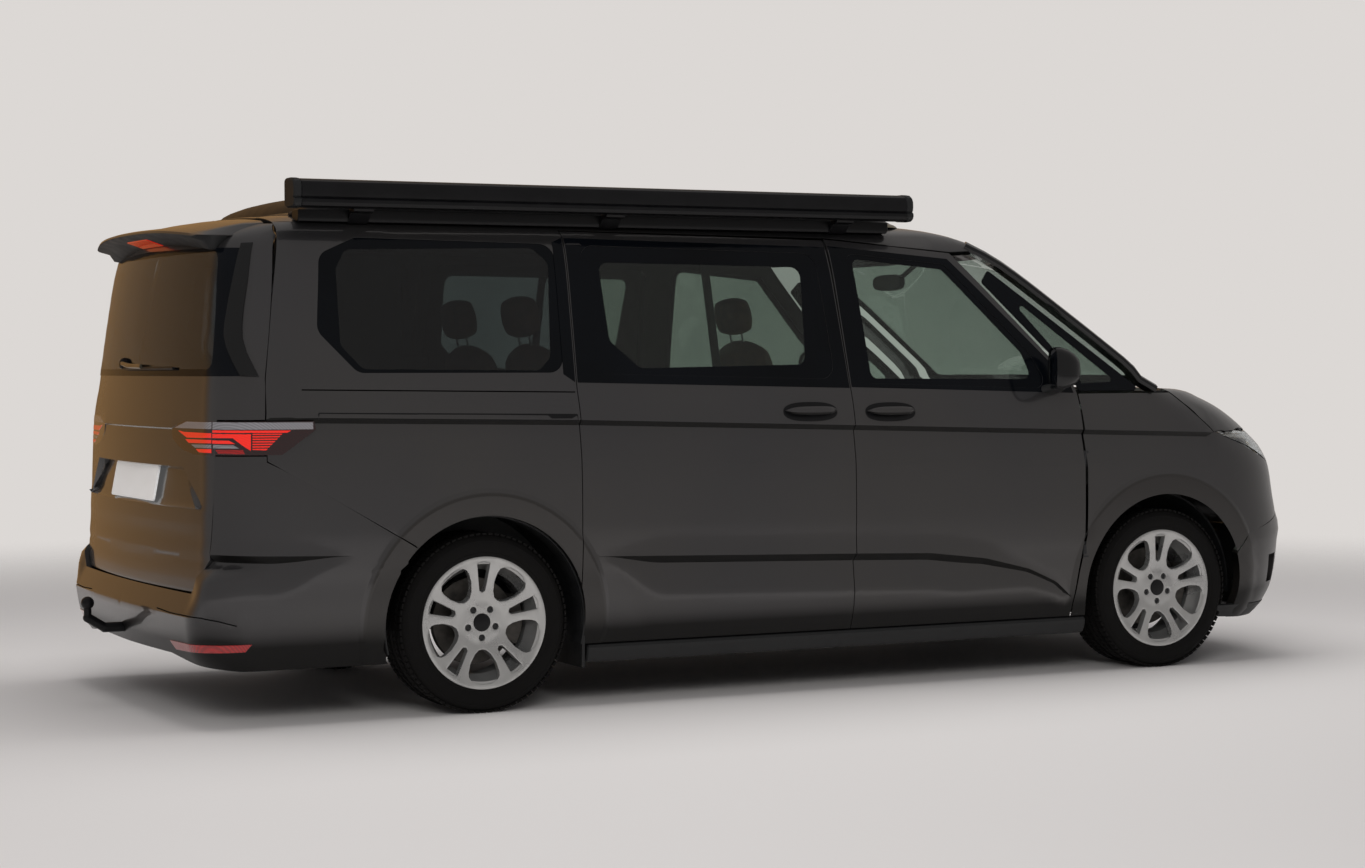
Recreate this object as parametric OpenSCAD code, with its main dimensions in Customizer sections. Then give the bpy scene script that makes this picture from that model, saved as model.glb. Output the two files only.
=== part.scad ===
// Camper van with a lifting roof, side awning and tow bar.
// Frame: +X forward, +Y to the left, +Z up, origin on the ground at the middle of the van's box.
// Side outlines are [x, z] points seen from the right; x is counted from the middle of the wheelbase.

/* [Size] */
// Distance between the axles
wheelbase = 3124; // [3000:1:3300]
// Distance between the wheels' middle planes
track = 1624; // [1580:1:1640]
// Gap around a panel that moves
panel_gap = 6; // [5:0.5:8]
// Seam between two fixed panels
seam = 0.4; // [0.3:0.1:1]

/* [Body] */
// Thickness of a side wall, door or bumper
wall = 56; // [45:1:65]
// Thickness of the roof and bonnet
top_wall = 40; // [30:1:50]
// Thickness of the windows
glass_t = 5; // [4:0.5:6]
// Height of the cabin floor
floor_top = 440; // [420:1:460]
// Thickness of the floor
floor_t = 45; // [35:1:60]
// Radius of the wheel arch openings
arch_r = 405; // [400:1:412]

/* [Wheels] */
// Outer radius of the tyre
tyre_r = 338; // [330:1:345]
// Width of the tyre
tyre_w = 236; // [215:1:245]
// Circle of the wheel bolts
bolt_circle_d = 112; // [112:1:120]
// Radius of a wheel bolt hole
bolt_hole_r = 7.5; // [6:0.5:8]
// Radius of the hub bore in the wheel
hub_bore_r = 28.5; // [28:0.5:33]

/* [Awning] */
// Length of the awning case
awning_l = 2640; // [2400:10:2700]

/* [Hidden] */
$fn = 32;
front_axle_x = wheelbase / 2;
rear_axle_x = -wheelbase / 2;
axle_z = tyre_r;
wheel_y = track / 2;
fit = 0.3;
far = 3000;

// The x values are drawn for this half wheelbase. What lies between the axles stretches with the wheelbase
// and what lies beyond them moves along.
drawn_axle_x = 1562;
function along(x) = x + (front_axle_x - drawn_axle_x) * max(-1, min(1, x / drawn_axle_x));
function moved(points) = [for (p = points) [along(p[0]), p[1]]];

// Nose to tail is 5173 mm; the tow ball reaches a little further back.
nose_x = along(2468);
tow_end_x = along(-2850);
frame_x = -(nose_x + tow_end_x) / 2;

// The body's shape, as plan outlines at a row of heights.
// Columns: z, half width, rear x, front x, rear bow, front bow,
//          rear corner length and width, front corner length and width.
LEVELS = [
    [185, 895, -2600, 2350, 30, 70, 180, 180, 440, 430],
    [230, 915, -2655, 2400, 30, 70, 180, 180, 450, 440],
    [330, 945, -2694, 2448, 30, 70, 180, 180, 470, 450],
    [450, 958, -2705, 2466, 30, 70, 180, 180, 480, 450],
    [540, 966, -2700, 2468, 32, 70, 185, 185, 480, 450],
    [590, 968, -2662, 2462, 45, 70, 240, 195, 480, 450],
    [850, 970, -2652, 2420, 50, 80, 250, 200, 480, 450],
    [930, 967, -2650, 2385, 50, 90, 250, 200, 480, 450],
    [1000, 963, -2648, 2315, 50, 100, 250, 200, 480, 440],
    [1080, 957, -2645, 2205, 50, 100, 250, 200, 500, 420],
    [1150, 944, -2638, 2060, 50, 110, 250, 195, 480, 380],
    [1186, 933, -2634, 1925, 50, 115, 250, 195, 440, 330],
    [1192, 931, -2633, 1720, 50, 130, 250, 195, 70, 50],
    [1300, 904, -2620, 1570, 50, 130, 240, 180, 65, 45],
    [1700, 799, -2570, 1022, 50, 130, 190, 140, 60, 40],
    [1780, 765, -2545, 905, 60, 140, 170, 130, 60, 50],
    [1820, 725, -2490, 830, 70, 140, 170, 150, 80, 70],
    [1850, 660, -2410, 745, 80, 130, 180, 160, 110, 100],
    [1872, 560, -2310, 640, 80, 120, 180, 160, 130, 120],
    [1885, 420, -2190, 520, 70, 100, 170, 150, 140, 120],
    [1892, 240, -2020, 380, 50, 70, 120, 100, 100, 80],
];
screen_level = 12;
bow_steps = 2;
corner_steps = 4;

// Half of a plan outline, from the middle of the tail to the middle of the nose, set in by t.
function half_outline(l, t) =
    let (w = l[1] - t, xr = along(l[2]) + t, xf = along(l[3]) - t, br = l[4], bf = l[5],
         rx = l[6], ry = l[7], fx = l[8], fy = l[9])
    concat(
        [for (i = [0 : bow_steps - 1]) let (k = i / bow_steps) [xr + br * k * k, (w - ry) * k]],
        [for (j = [0 : corner_steps]) let (a = 90 * j / corner_steps)
            [xr + br + rx * (1 - cos(a)), w - ry * (1 - sin(a))]],
        [for (j = [corner_steps : -1 : 0]) let (a = 90 * j / corner_steps)
            [xf - bf - fx * (1 - cos(a)), w - fy * (1 - sin(a))]],
        [for (i = [bow_steps - 1 : -1 : 0]) let (k = i / bow_steps) [xf - bf * k * k, (w - fy) * k]]);

function outline(l, t) =
    let (h = half_outline(l, t), n = len(h))
    concat(h, [for (i = [n - 2 : -1 : 1]) [h[i][0], -h[i][1]]]);

module ring(l, t) {
    o = outline(l, t);
    polyhedron([for (p = o) [p[0], p[1], l[0]]], [[for (i = [0 : len(o) - 1]) i]]);
}

// The whole body as one solid, set in by t on its sides, nose and tail.
module loft(t) {
    for (i = [0 : len(LEVELS) - 2]) hull() {
        ring(LEVELS[i], t);
        ring(LEVELS[i + 1], t);
    }
}

// The body set in by t on its sides and by down on its tops.
module core(t, down) {
    intersection() {
        loft(t);
        translate([0, 0, -down]) loft(0);
    }
}

module shell(t = wall, down = top_wall) {
    difference() {
        loft(0);
        core(t, down);
        translate([-far, -far, -far]) cube([2 * far, 2 * far, far + LEVELS[0][0] - 1]);
    }
}

// A layer of the body's skin between two depths.
module skin(outer, inner) {
    difference() {
        core(outer, outer);
        core(inner, inner);
    }
}

// Prisms from side [x, z] and end [y, z] outlines, and boxes given as
// x from, x to, y from, y to, z from, z to.
side_from_y = 200;
side_depth = 1000;
mid_half_w = 250;
wide_y = 1100;

module side_cut(points, grow = 0, round_r = 0) {
    translate([0, -side_from_y, 0]) rotate([90, 0, 0]) linear_extrude(side_depth)
        offset(delta = grow) rounded(round_r) polygon(moved(points));
}
module rounded(r) {
    if (r > 0) offset(r) offset(delta = -r) children();
    else children();
}
module end_cut(points, xs, grow = 0, round_r = 0) {
    translate([along(xs[0]), 0, 0]) rotate([90, 0, 90]) linear_extrude(along(xs[1]) - along(xs[0]))
        offset(delta = grow) rounded(round_r) polygon(points);
}
module box_at(b) {
    translate([b[0], b[2], b[4]]) cube([b[1] - b[0], b[3] - b[2], b[5] - b[4]]);
}
module box(b) {
    box_at([along(b[0]), along(b[1]), b[2], b[3], b[4], b[5]]);
}
module boxes(table) {
    for (b = table) box(b);
}
module cross_tube(r, y_from, y_to, faces = $fn) {
    translate([0, y_to, 0]) rotate([90, 0, 0]) cylinder(r = r, h = y_to - y_from, $fn = faces);
}
module left_of() { mirror([0, 1, 0]) children(); }
module both() {
    children();
    mirror([0, 1, 0]) children();
}

// Side outlines
sill_z = 240;
b_gap_x = 28;
c_gap_x = -1178;
FRONT_DOOR = [[b_gap_x, sill_z], [b_gap_x, 1190], [8, 1806], [586, 1757], [1101, 1226], [1116, 1165],
    [1126, 1046], [1141, 860], [1141, 587], [1112, 430], [1092, 300], [1090, sill_z]];
FRONT_WINDOW = [[98, 1222], [78, 1752], [548, 1712], [905, 1345], [985, 1195]];
SLIDING_DOOR = [[c_gap_x + 3, sill_z], [c_gap_x + 3, 1230], [-1158, 1818], [-5, 1801], [22, 1190],
    [22, sill_z]];
SLIDING_WINDOW = [[-1120, 1268], [-1102, 1765], [-62, 1748], [-40, 1240]];
QUARTER = [[c_gap_x - 3, sill_z], [c_gap_x - 3, 1230], [-1164, 1823.4], [-2296, 1834], [-2352, 1542],
    [-2398, 1260], [-2410, 1112], [-2410, 962], [-1851, 640], [-1500, 200]];
QUARTER_WINDOW = [[-1225, 1272], [-1208, 1768], [-2010, 1780], [-2160, 1715], [-2195, 1430], [-2050, 1275]];
QUARTER_LIGHT = [[720, 1640], [760, 1690], [1425, 1205], [1425, 1185], [1130, 1185], [1112, 1240]];
WING = [[1098, sill_z], [1100, 300], [1120, 430], [1148, 587], [1148, 860], [1134, 1046], [1124, 1160],
    [1124, 1172], [1617, 1172], [1815, 1000], [1829, 999.4], [2198, 865.2], [2300, 865.2], [2300, 640],
    [2000, 560], [1750, sill_z]];
BONNET_SIDE = [[1613, 1184], [1818, 1006], [2600, 1006], [2600, 1190], [1613, 1190]];
lamp_low_z = 866;
lamp_top_z = 1000;
HEADLAMP_SIDE = [[1832, lamp_top_z], [2600, lamp_top_z], [2600, lamp_low_z], [2200, lamp_low_z]];
ROOF_SIDE = [[-2296, 1834.6], [8, 1813], [590, 1764], [1108, 1232], [1123, 1172.5], [1730, 1172.5],
    [1730, 1300], [900, 2100], [-2296, 2100]];
bumper_top_z = 983.4;
REAR_BUMPER_SIDE = [[-2900, 150], [-1700, 150], [-1851, 639], [-2410, 961.4], [-2410, bumper_top_z],
    [-2900, bumper_top_z]];
TAILGATE_SIDE = [[-2302, 2100], [-2302, 1840], [-2358, 1542], [-2404, 1260], [-2417, 1112], [-3000, 1112],
    [-3000, 2100]];
LAMP_SIDE = [[-2235, 1104], [-2229, 1073], [-2359, 984], [-2900, 984], [-2900, 1104]];
light_round = 12;
door_window_round = 40;
side_window_round = 60;

// End outlines
gate_half_w = LEVELS[6][1] - 125;
gate_low_z = 486;
gate_corner_z = 606;
lamp_row_z = 1112;
gate_low_half_w = gate_half_w - 90;
GATE_LOW = [[-gate_half_w, lamp_row_z + 1], [-gate_half_w, gate_corner_z], [-gate_low_half_w, gate_low_z],
    [gate_low_half_w, gate_low_z], [gate_half_w, gate_corner_z], [gate_half_w, lamp_row_z + 1]];
PLATE_RECESS = [[-600, 935], [600, 935], [800, 786], [-800, 786]];
PLATE_WEDGE = [[-2800, 935], [-2612, 935], [-2638, 794], [-2800, 770]];
REAR_WINDOW = [[-715, 1262], [715, 1262], [600, 1742], [-600, 1742]];
WINDSCREEN = [[-836, 1206], [836, 1206], [706, 1786], [-706, 1786]];
LAMP_END = [[-gate_half_w, 984], [-gate_half_w, 1104], [-590, 1104], [-548, 1085], [-560, 1030], [-600, 984]];
INTAKE = [[-690, 285], [690, 285], [640, 520], [-640, 520]];
intake_round = 30;
// Where these cuts begin and end along the van
TAIL_XS = [-2900, -2300];
GATE_XS = [-2900, -2440];
SCREEN_XS = [500, 2000];
NOSE_XS = [1900, 2700];

body_paint = "#3d4045";
black_trim = "#17181a";
window_tint = "#20262b";
chassis_grey = "#2a2b2d";

module arches(r) {
    for (x = [front_axle_x, rear_axle_x]) translate([x, 0, axle_z]) cross_tube(r, -wide_y, wide_y, 48);
}

// Floor and bulkhead, which the panels below are joined to
floor_low_z = floor_top - floor_t;
floor_half_w = 860;
bulkhead_half_w = 780;

// Root body panels
roof_strip = [-2296, 1004, -mid_half_w, mid_half_w, 1780, 2180];
cowl_cut = [1200, 2100, -wide_y, wide_y, 1100, 1191.9];
cowl_lip = 5;

module roof_panel() {
    color(body_paint) difference() {
        intersection() {
            shell();
            union() {
                both() side_cut(ROOF_SIDE);
                box(roof_strip);
            }
        }
        end_cut(WINDSCREEN, SCREEN_XS);
        both() side_cut(QUARTER_LIGHT, 0, light_round);
        difference() {
            box(cowl_cut);
            translate([0, 0, cowl_cut[4] - 1]) linear_extrude(200)
                polygon(outline(LEVELS[screen_level], -cowl_lip));
        }
        box(pop_hole);
        tailgate_round(gate_room_r);
        both() bonnet_hinge_room(cowl_room_r, cowl_room_ys);
        both() pop_hinge_room();
    }
}

module side_panel() {
    color(body_paint) difference() {
        intersection() {
            shell();
            side_cut(QUARTER);
        }
        translate([-far, -mid_half_w - seam, 0]) cube([2 * far, 2 * (mid_half_w + seam), far]);
        arches(arch_r);
        side_cut(QUARTER_WINDOW, 0, side_window_round);
        side_cut(LAMP_SIDE, seam);
    }
}

// Joins the wing to the bulkhead.
wing_bracket = [1445, 1475, -930, -bulkhead_half_w - fit, 900, 960];

module front_wing() {
    color(body_paint) difference() {
        union() {
            intersection() {
                shell();
                side_cut(WING);
            }
            box(wing_bracket);
        }
        arches(arch_r);
        front_hinge_room();
    }
}

// Brackets join the sliding doors and the rear bumper to the floor.
bracket_xs = [-1000, -250];
bumper_bracket_x = -2300;
bracket_l = 70;
bracket_top_z = 425;

module floor_bracket(x) {
    box([x, x + bracket_l, -floor_half_w - wall, -floor_half_w - fit, floor_low_z, bracket_top_z]);
}

module sliding_door() {
    color(body_paint) difference() {
        union() {
            intersection() {
                shell();
                side_cut(SLIDING_DOOR);
            }
            for (x = bracket_xs) floor_bracket(x);
        }
        arches(arch_r);
        side_cut(SLIDING_WINDOW, 0, side_window_round);
    }
}

bumper_low_z = 150;
nose_room = [1700, 2700, -wide_y, wide_y, bumper_low_z, lamp_low_z - seam];

module front_bumper() {
    color(body_paint) difference() {
        intersection() {
            shell();
            box(nose_room);
        }
        arches(arch_r);
        both() side_cut(WING, seam);
        end_cut(INTAKE, NOSE_XS, 0, intake_round);
    }
}

// Intake bars, set back from the nose
grille_in = 26;
grille_back = 52;
bar_h = 26;
bar_low_z = 300;
bar_pitch = 68;
bar_rows = 4;
upright_w = 28;
upright_ys = [-330, 0, 330];

module grille() {
    color(black_trim) intersection() {
        skin(grille_in, grille_back);
        end_cut(INTAKE, NOSE_XS, -fit, intake_round);
        union() {
            for (i = [0 : bar_rows - 1]) let (z = bar_low_z + bar_pitch * i)
                box([NOSE_XS[0], NOSE_XS[1], -wide_y, wide_y, z, z + bar_h]);
            for (y = upright_ys)
                box([NOSE_XS[0], NOSE_XS[1], y - upright_w / 2, y + upright_w / 2, bar_low_z - 20, 530]);
        }
    }
}

front_lamp_depth = 45;
nose_bar_half_w = 420;

module headlamps() {
    color("#c9d2d8") both() intersection() {
        skin(0, front_lamp_depth);
        side_cut(HEADLAMP_SIDE, -seam);
        box([1700, 2700, -wide_y, -nose_bar_half_w, lamp_low_z - 66, lamp_top_z + 100]);
    }
}

module nose_bar() {
    color(black_trim) intersection() {
        skin(0, front_lamp_depth);
        box([1700, 2700, -nose_bar_half_w + seam, nose_bar_half_w - seam, lamp_low_z, lamp_top_z]);
    }
}

bumper_mid = [-2900, -2300, -300, 300, bumper_low_z, bumper_top_z];
tow_slot = [-2900, -2500, -45, 45, bumper_low_z, 340];

module rear_bumper() {
    color(body_paint) difference() {
        union() {
            intersection() {
                shell();
                union() {
                    both() side_cut(REAR_BUMPER_SIDE, -seam / 2);
                    box(bumper_mid);
                }
            }
            both() floor_bracket(bumper_bracket_x);
        }
        arches(arch_r);
        end_cut(GATE_LOW, TAIL_XS, panel_gap);
        box(tow_slot);
    }
}

rear_lamp_depth = 40;

module tail_lamps() {
    color("#8f1418") both() intersection() {
        skin(0, rear_lamp_depth);
        side_cut(LAMP_SIDE, -seam);
        box([-2900, -2000, -wide_y, -gate_half_w - panel_gap, 900, 1200]);
    }
}

sill_trim = [-1150, 1180, -925, -850 - fit, 165, 234];
sill_arch_gap = 4;

module side_sills() {
    color(black_trim) both() difference() {
        box(sill_trim);
        arches(arch_r + sill_arch_gap);
    }
}

glass_in = 3;

module glass() {
    color(window_tint) intersection() {
        skin(glass_in, glass_in + glass_t);
        children();
    }
}

module windscreen() {
    glass() end_cut(WINDSCREEN, SCREEN_XS, -fit);
}

module side_windows() {
    both() glass() union() {
        side_cut(QUARTER_WINDOW, -fit, side_window_round);
        side_cut(SLIDING_WINDOW, -fit, side_window_round);
        side_cut(QUARTER_LIGHT, -fit, light_round);
    }
}

// Doors, tailgate, bonnet and lifting roof

door_hinge_x = along(1139);
door_hinge_y = -957;
door_hinge_zs = [520, 900];
door_inner_step = 32;
door_skin_t = 22;
hinge_pin_r = 5;
hinge_barrel_r = 10;
hinge_h = 40;
leaf_l = 55;
leaf_t = 8;
leaf_in = 4;
// Room around the hinge in the wing, and in the door
wing_room_r = 14 + panel_gap;
door_room_r = 20;
door_room_h = 90;

module front_hinge_room() {
    translate([door_hinge_x, door_hinge_y, 0]) cylinder(r = wing_room_r, h = 1200);
}

module hinge_leaf(z, gap) {
    translate([door_hinge_x - leaf_l - gap, door_hinge_y + leaf_in - gap, z - hinge_h / 2 - gap])
        cube([leaf_l - 5, leaf_t + 2 * gap, hinge_h + 2 * gap]);
}

module front_door() {
    color(body_paint) difference() {
        intersection() {
            shell();
            side_cut(FRONT_DOOR);
        }
        difference() {
            loft(door_skin_t);
            side_cut(FRONT_DOOR, -door_inner_step);
        }
        side_cut(FRONT_WINDOW, 0, door_window_round);
        for (z = door_hinge_zs) {
            translate([door_hinge_x, door_hinge_y, z - door_room_h / 2])
                cylinder(r = door_room_r, h = door_room_h);
            hinge_leaf(z, fit);
        }
    }
}

module front_door_window() {
    glass() side_cut(FRONT_WINDOW, -fit, door_window_round);
}

module door_hinge_leaf() {
    color(body_paint) for (z = door_hinge_zs) difference() {
        union() {
            translate([door_hinge_x, door_hinge_y, z - hinge_h / 2]) cylinder(r = hinge_barrel_r, h = hinge_h);
            hinge_leaf(z, 0);
        }
        translate([door_hinge_x, door_hinge_y, z - hinge_h]) cylinder(r = hinge_pin_r + fit, h = 2 * hinge_h);
    }
}

// Mirror. Columns: x, y, z and radius of a corner ball; then the two ends of its foot as boxes.
MIRROR_BALLS = [[960, -1088, 1215, 22], [960, -1088, 1345, 22], [960, -970, 1345, 22], [960, -970, 1215, 22],
    [1035, -1075, 1230, 20], [1035, -975, 1230, 20], [1020, -1070, 1320, 20], [1020, -980, 1320, 20]];
MIRROR_FOOT = [[955, 1025, -940, -880, 1185, 1209], [965, 1015, -985, -965, 1200, 1230]];

module mirror_part() {
    color(black_trim) difference() {
        union() {
            hull() for (p = MIRROR_BALLS) translate([along(p[0]), p[1], p[2]]) sphere(p[3], $fn = 8);
            hull() boxes(MIRROR_FOOT);
        }
        loft(-fit);
    }
}

gate_hinge_x = along(-2306);
gate_hinge_y = 150;
gate_hinge_z = 1861;
gate_pin_r = 4;
gate_barrel_r = 8;
gate_barrel_l = 50;
gate_pin_l = 80;
gate_room_r = 19;
gate_notch_r = 11;
gate_leaf_l = 60;
gate_leaf_w = 40;
gate_leaf_t = 7;
// Below this level the tailgate stays upright, behind the bumper's shelf.
gate_step_level = 5;
gate_step_z = LEVELS[gate_step_level][0];
gate_strip = [-2900, -2304, -mid_half_w, mid_half_w, lamp_row_z - 1, 2011];

module at_gate_hinge() {
    translate([gate_hinge_x, -gate_hinge_y, gate_hinge_z]) children();
}

module tailgate_round(r) {
    translate([gate_hinge_x, 0, gate_hinge_z]) cross_tube(r, -700, 700);
}

module plate_recess() {
    intersection() {
        end_cut(PLATE_RECESS, TAIL_XS);
        translate([0, far, 0]) rotate([90, 0, 0]) linear_extrude(2 * far) polygon(moved(PLATE_WEDGE));
    }
}

module gate_leaf(gap) {
    translate([-gate_leaf_l - gap, -gate_leaf_w / 2 - gap, -gate_leaf_t + 1 - gap])
        cube([gate_leaf_l - 2 + 2 * gap, gate_leaf_w + 2 * gap, gate_leaf_t + 2 * gap]);
}

module tailgate() {
    color(body_paint) difference() {
        union() {
            intersection() {
                shell();
                union() {
                    translate([-far, -far, gate_step_z]) cube(2 * far);
                    linear_extrude(gate_step_z) polygon(outline(LEVELS[gate_step_level], 0));
                }
                union() {
                    both() side_cut(TAILGATE_SIDE);
                    box(gate_strip);
                    end_cut(GATE_LOW, GATE_XS);
                }
            }
            spoiler();
        }
        end_cut(REAR_WINDOW, TAIL_XS, 0, door_window_round);
        plate_recess();
        both() end_cut(LAMP_END, GATE_XS, seam);
        both() at_gate_hinge() {
            cross_tube(gate_notch_r, -gate_pin_l / 2 - 2, gate_pin_l / 2 + 2);
            gate_leaf(fit);
        }
    }
}

// Roof spoiler on the tailgate, as its side and plan outlines
spoiler_half_w = 720;
SPOILER_SIDE = [[-2330, 1846], [-2450, 1848], [-2540, 1832], [-2625, 1808], [-2627, 1799], [-2540, 1768],
    [-2480, 1760], [-2400, 1790]];
SPOILER_PLAN = [[-2630, -250], [-2630, 250], [-2620, 480], [-2595, 620], [-2500, 680], [-2300, 700],
    [-2300, -700], [-2500, -680], [-2595, -620], [-2620, -480]];

module spoiler() {
    intersection() {
        translate([0, spoiler_half_w, 0]) rotate([90, 0, 0]) linear_extrude(2 * spoiler_half_w)
            polygon(moved(SPOILER_SIDE));
        translate([0, 0, 1700]) linear_extrude(200) polygon(moved(SPOILER_PLAN));
    }
}

module rear_window() {
    glass() end_cut(REAR_WINDOW, TAIL_XS, -fit, door_window_round);
}

module tailgate_lamps() {
    color("#8f1418") both() intersection() {
        skin(0, rear_lamp_depth);
        end_cut(LAMP_END, GATE_XS, -seam);
    }
}

bonnet_hinge_x = along(1606);
bonnet_hinge_y = 850;
bonnet_hinge_z = 1178;
bonnet_pin_r = 3;
bonnet_pin_l = 40;
bonnet_barrel_r = 5.5;
bonnet_barrel_l = 20;
// Room around the pin in the bonnet and in the cowl, outwards and inwards of the hinge
bonnet_room_r = 9;
bonnet_room_ys = [-24, 24];
cowl_room_r = 18;
cowl_room_ys = [-50, 170];
bonnet_leaf_l = 60;
bonnet_leaf_w = 18;
bonnet_leaf_t = 5;
bonnet_strip = [1613, 2613, -mid_half_w, mid_half_w, 1006, 1190];
cowl_gap = 14;

module at_bonnet_hinge() {
    translate([bonnet_hinge_x, -bonnet_hinge_y, bonnet_hinge_z]) children();
}

module bonnet_hinge_room(r, ys) {
    at_bonnet_hinge() cross_tube(r, ys[0], ys[1]);
}

module bonnet_leaf(gap) {
    translate([0, -bonnet_leaf_w / 2 - gap, -bonnet_leaf_t - gap])
        cube([bonnet_leaf_l + gap, bonnet_leaf_w + 2 * gap, bonnet_leaf_t + 2 * gap]);
}

module bonnet() {
    color(body_paint) difference() {
        intersection() {
            shell();
            union() {
                both() side_cut(BONNET_SIDE);
                box(bonnet_strip);
            }
        }
        translate([0, 0, 900]) linear_extrude(500) polygon(outline(LEVELS[screen_level], -cowl_gap));
        both() {
            bonnet_hinge_room(bonnet_room_r, bonnet_room_ys);
            at_bonnet_hinge() bonnet_leaf(fit);
        }
    }
}

// The lifting roof. Columns: z, half width, rear x, front x, then bows and corners as in LEVELS.
POP_LEVELS = [
    [1862, 640, -2190, 640, 40, 150, 120, 110, 160, 130],
    [1900, 630, -2170, 560, 40, 140, 120, 110, 160, 130],
    [1935, 600, -2120, 430, 40, 120, 130, 120, 170, 140],
    [1955, 520, -2040, 280, 40, 100, 150, 140, 180, 160],
    [1962, 400, -1900, 100, 30, 80, 150, 150, 180, 160],
];
pop_wall = 40;
pop_top = 30;
pop_gap = 5.2;
pop_hole = [-1850, 450, -530, 530, 1700, 2100];
pop_hinge_x = along(-2190);
pop_hinge_y = 590;
pop_hinge_z = 1872;
pop_pin_r = 4;
pop_pin_l = 60;
pop_barrel_r = 8;
pop_barrel_l = 36;
pop_notch_r = 11;
pop_leaf_l = 80;
pop_leaf_w = 32;
pop_leaf_t = 6;
// Lugs that hold the pin
pop_lug_w = 10;
pop_lug_l = 12;
pop_lug_low = 32;

module at_pop_hinge() {
    translate([pop_hinge_x, -pop_hinge_y, pop_hinge_z]) children();
}

module pop_lugs(gap, h) {
    at_pop_hinge() for (dy = [-pop_pin_l / 2, pop_pin_l / 2 - pop_lug_w])
        translate([-pop_lug_l / 2 - gap, dy - gap, -pop_lug_low - gap])
            cube([pop_lug_l + 2 * gap, pop_lug_w + 2 * gap, h]);
}

module pop_hinge_room() {
    pop_lugs(fit, 60);
}

module pop_loft(t, down) {
    for (i = [0 : len(POP_LEVELS) - 2]) hull() {
        translate([0, 0, -down]) ring(POP_LEVELS[i], t);
        translate([0, 0, -down]) ring(POP_LEVELS[i + 1], t);
    }
}

module pop_leaf(gap) {
    translate([0, -pop_leaf_w / 2 - gap, 1 - gap])
        cube([pop_leaf_l + gap, pop_leaf_w + 2 * gap, pop_leaf_t + 2 * gap]);
}

module pop_roof() {
    color(black_trim) difference() {
        pop_loft(0, 0);
        pop_loft(pop_wall, pop_top);
        loft(-pop_gap);
        translate([0, 0, pop_gap]) loft(0);
        both() at_pop_hinge() {
            cross_tube(pop_notch_r, -pop_pin_l / 2 - 2, pop_pin_l / 2 + 2);
            pop_leaf(fit);
        }
    }
}

// Chassis, wheels and inside pieces
liner_r = 415;
liner_t = 8;
liner_end_t = 6;
liner_out_y = 850;
liner_drop = 40;
front_liner_y = wheel_y - 372;
rear_liner_y = wheel_y - 162;
axle_r = 45;
axle_room = 6;
// Floor, rails, cross members, inner sills and bulkhead
FLOOR_BOXES = [
    [-2440, 1480, -floor_half_w, floor_half_w, floor_low_z, floor_top],
    [-2400, 1090, -560, -440, 300, floor_low_z + 1],
    [-2400, 1090, 440, 560, 300, floor_low_z + 1],
    [-700, -580, -850, 850, 320, floor_low_z + 1],
    [300, 420, -850, 850, 320, floor_low_z + 1],
    [-1140, 1090, -850, -800, 220, floor_low_z + 1],
    [-1140, 1090, 800, 850, 220, floor_low_z + 1],
    [1440, 1480, -bulkhead_half_w, bulkhead_half_w, floor_low_z, 1085],
];

// Slot for the rear axle
AXLE_SLOT = [-70, 70, -900, 900, 250, 390];

module floor_pan() {
    color(chassis_grey) difference() {
        boxes(FLOOR_BOXES);
        translate([rear_axle_x, 0, 0]) box_at(AXLE_SLOT);
        both() {
            translate([front_axle_x, 0, axle_z]) cross_tube(liner_r + fit, -wide_y, -front_liner_y + 1, 48);
            translate([rear_axle_x, 0, axle_z]) cross_tube(liner_r + fit, -wide_y, -rear_liner_y + 1, 48);
        }
    }
}

module wheel_liners() {
    color(black_trim) both() {
        liner(front_axle_x, front_liner_y);
        liner(rear_axle_x, rear_liner_y);
    }
}

module liner(x, y_in) {
    translate([x, 0, axle_z]) difference() {
        cross_tube(liner_r, -liner_out_y, -y_in);
        cross_tube(liner_r - liner_t, -liner_out_y - 1, -y_in - liner_end_t);
        cross_tube(axle_r + axle_room, -wheel_y, 0);
        translate([-far, -far, -far - liner_drop]) cube([2 * far, far, far]);
    }
}

// Awning case on three feet that stand on the roof
awning_x = along(-2270);
awning_y = -800;
awning_z = 1936;
awning_foot_l = 80;
awning_foot_xs = [awning_x + 250, awning_x + awning_l / 2 - 40, awning_x + awning_l - 330];
case_round = 28;
case_ys = [-26, 32];
case_zs = [-26, 26];
foot_ys = [-780, -655];
foot_leg_y = -715;
foot_z = 1850;

module awning() {
    color(black_trim) difference() {
        union() {
            translate([awning_x, awning_y, awning_z]) rotate([90, 0, 90]) linear_extrude(awning_l)
                hull() for (y = case_ys, z = case_zs) translate([y, z]) circle(case_round);
            for (x = awning_foot_xs) {
                box_at([x, x + awning_foot_l, foot_ys[0], foot_ys[1], foot_z, awning_z - 40]);
                box_at([x, x + awning_foot_l, foot_leg_y, foot_ys[1], foot_z - 70, foot_z + 1]);
            }
        }
        translate([0, 0, fit]) loft(0);
    }
}

// Tow bar: cross tube, brackets to the rails, neck and ball
tow_x = along(-2560);
tow_z = 300;
tow_tube_r = 30;
tow_tube_half_l = 440;
TOW_BRACKETS = [[-2560, -2400 - fit, -560, -440, 302, 362], [-2560, -2400 - fit, 440, 560, 302, 362]];
neck_x = along(-2760);
neck_r = 19;
neck_tilt = -58;
neck_l = 76;
neck_top_z = 340;
neck_top_r = 18;
stem_r = 14.5;
tow_ball_r = 25;
tow_ball_x = tow_end_x + tow_ball_r;
tow_ball_z = 397;

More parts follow.
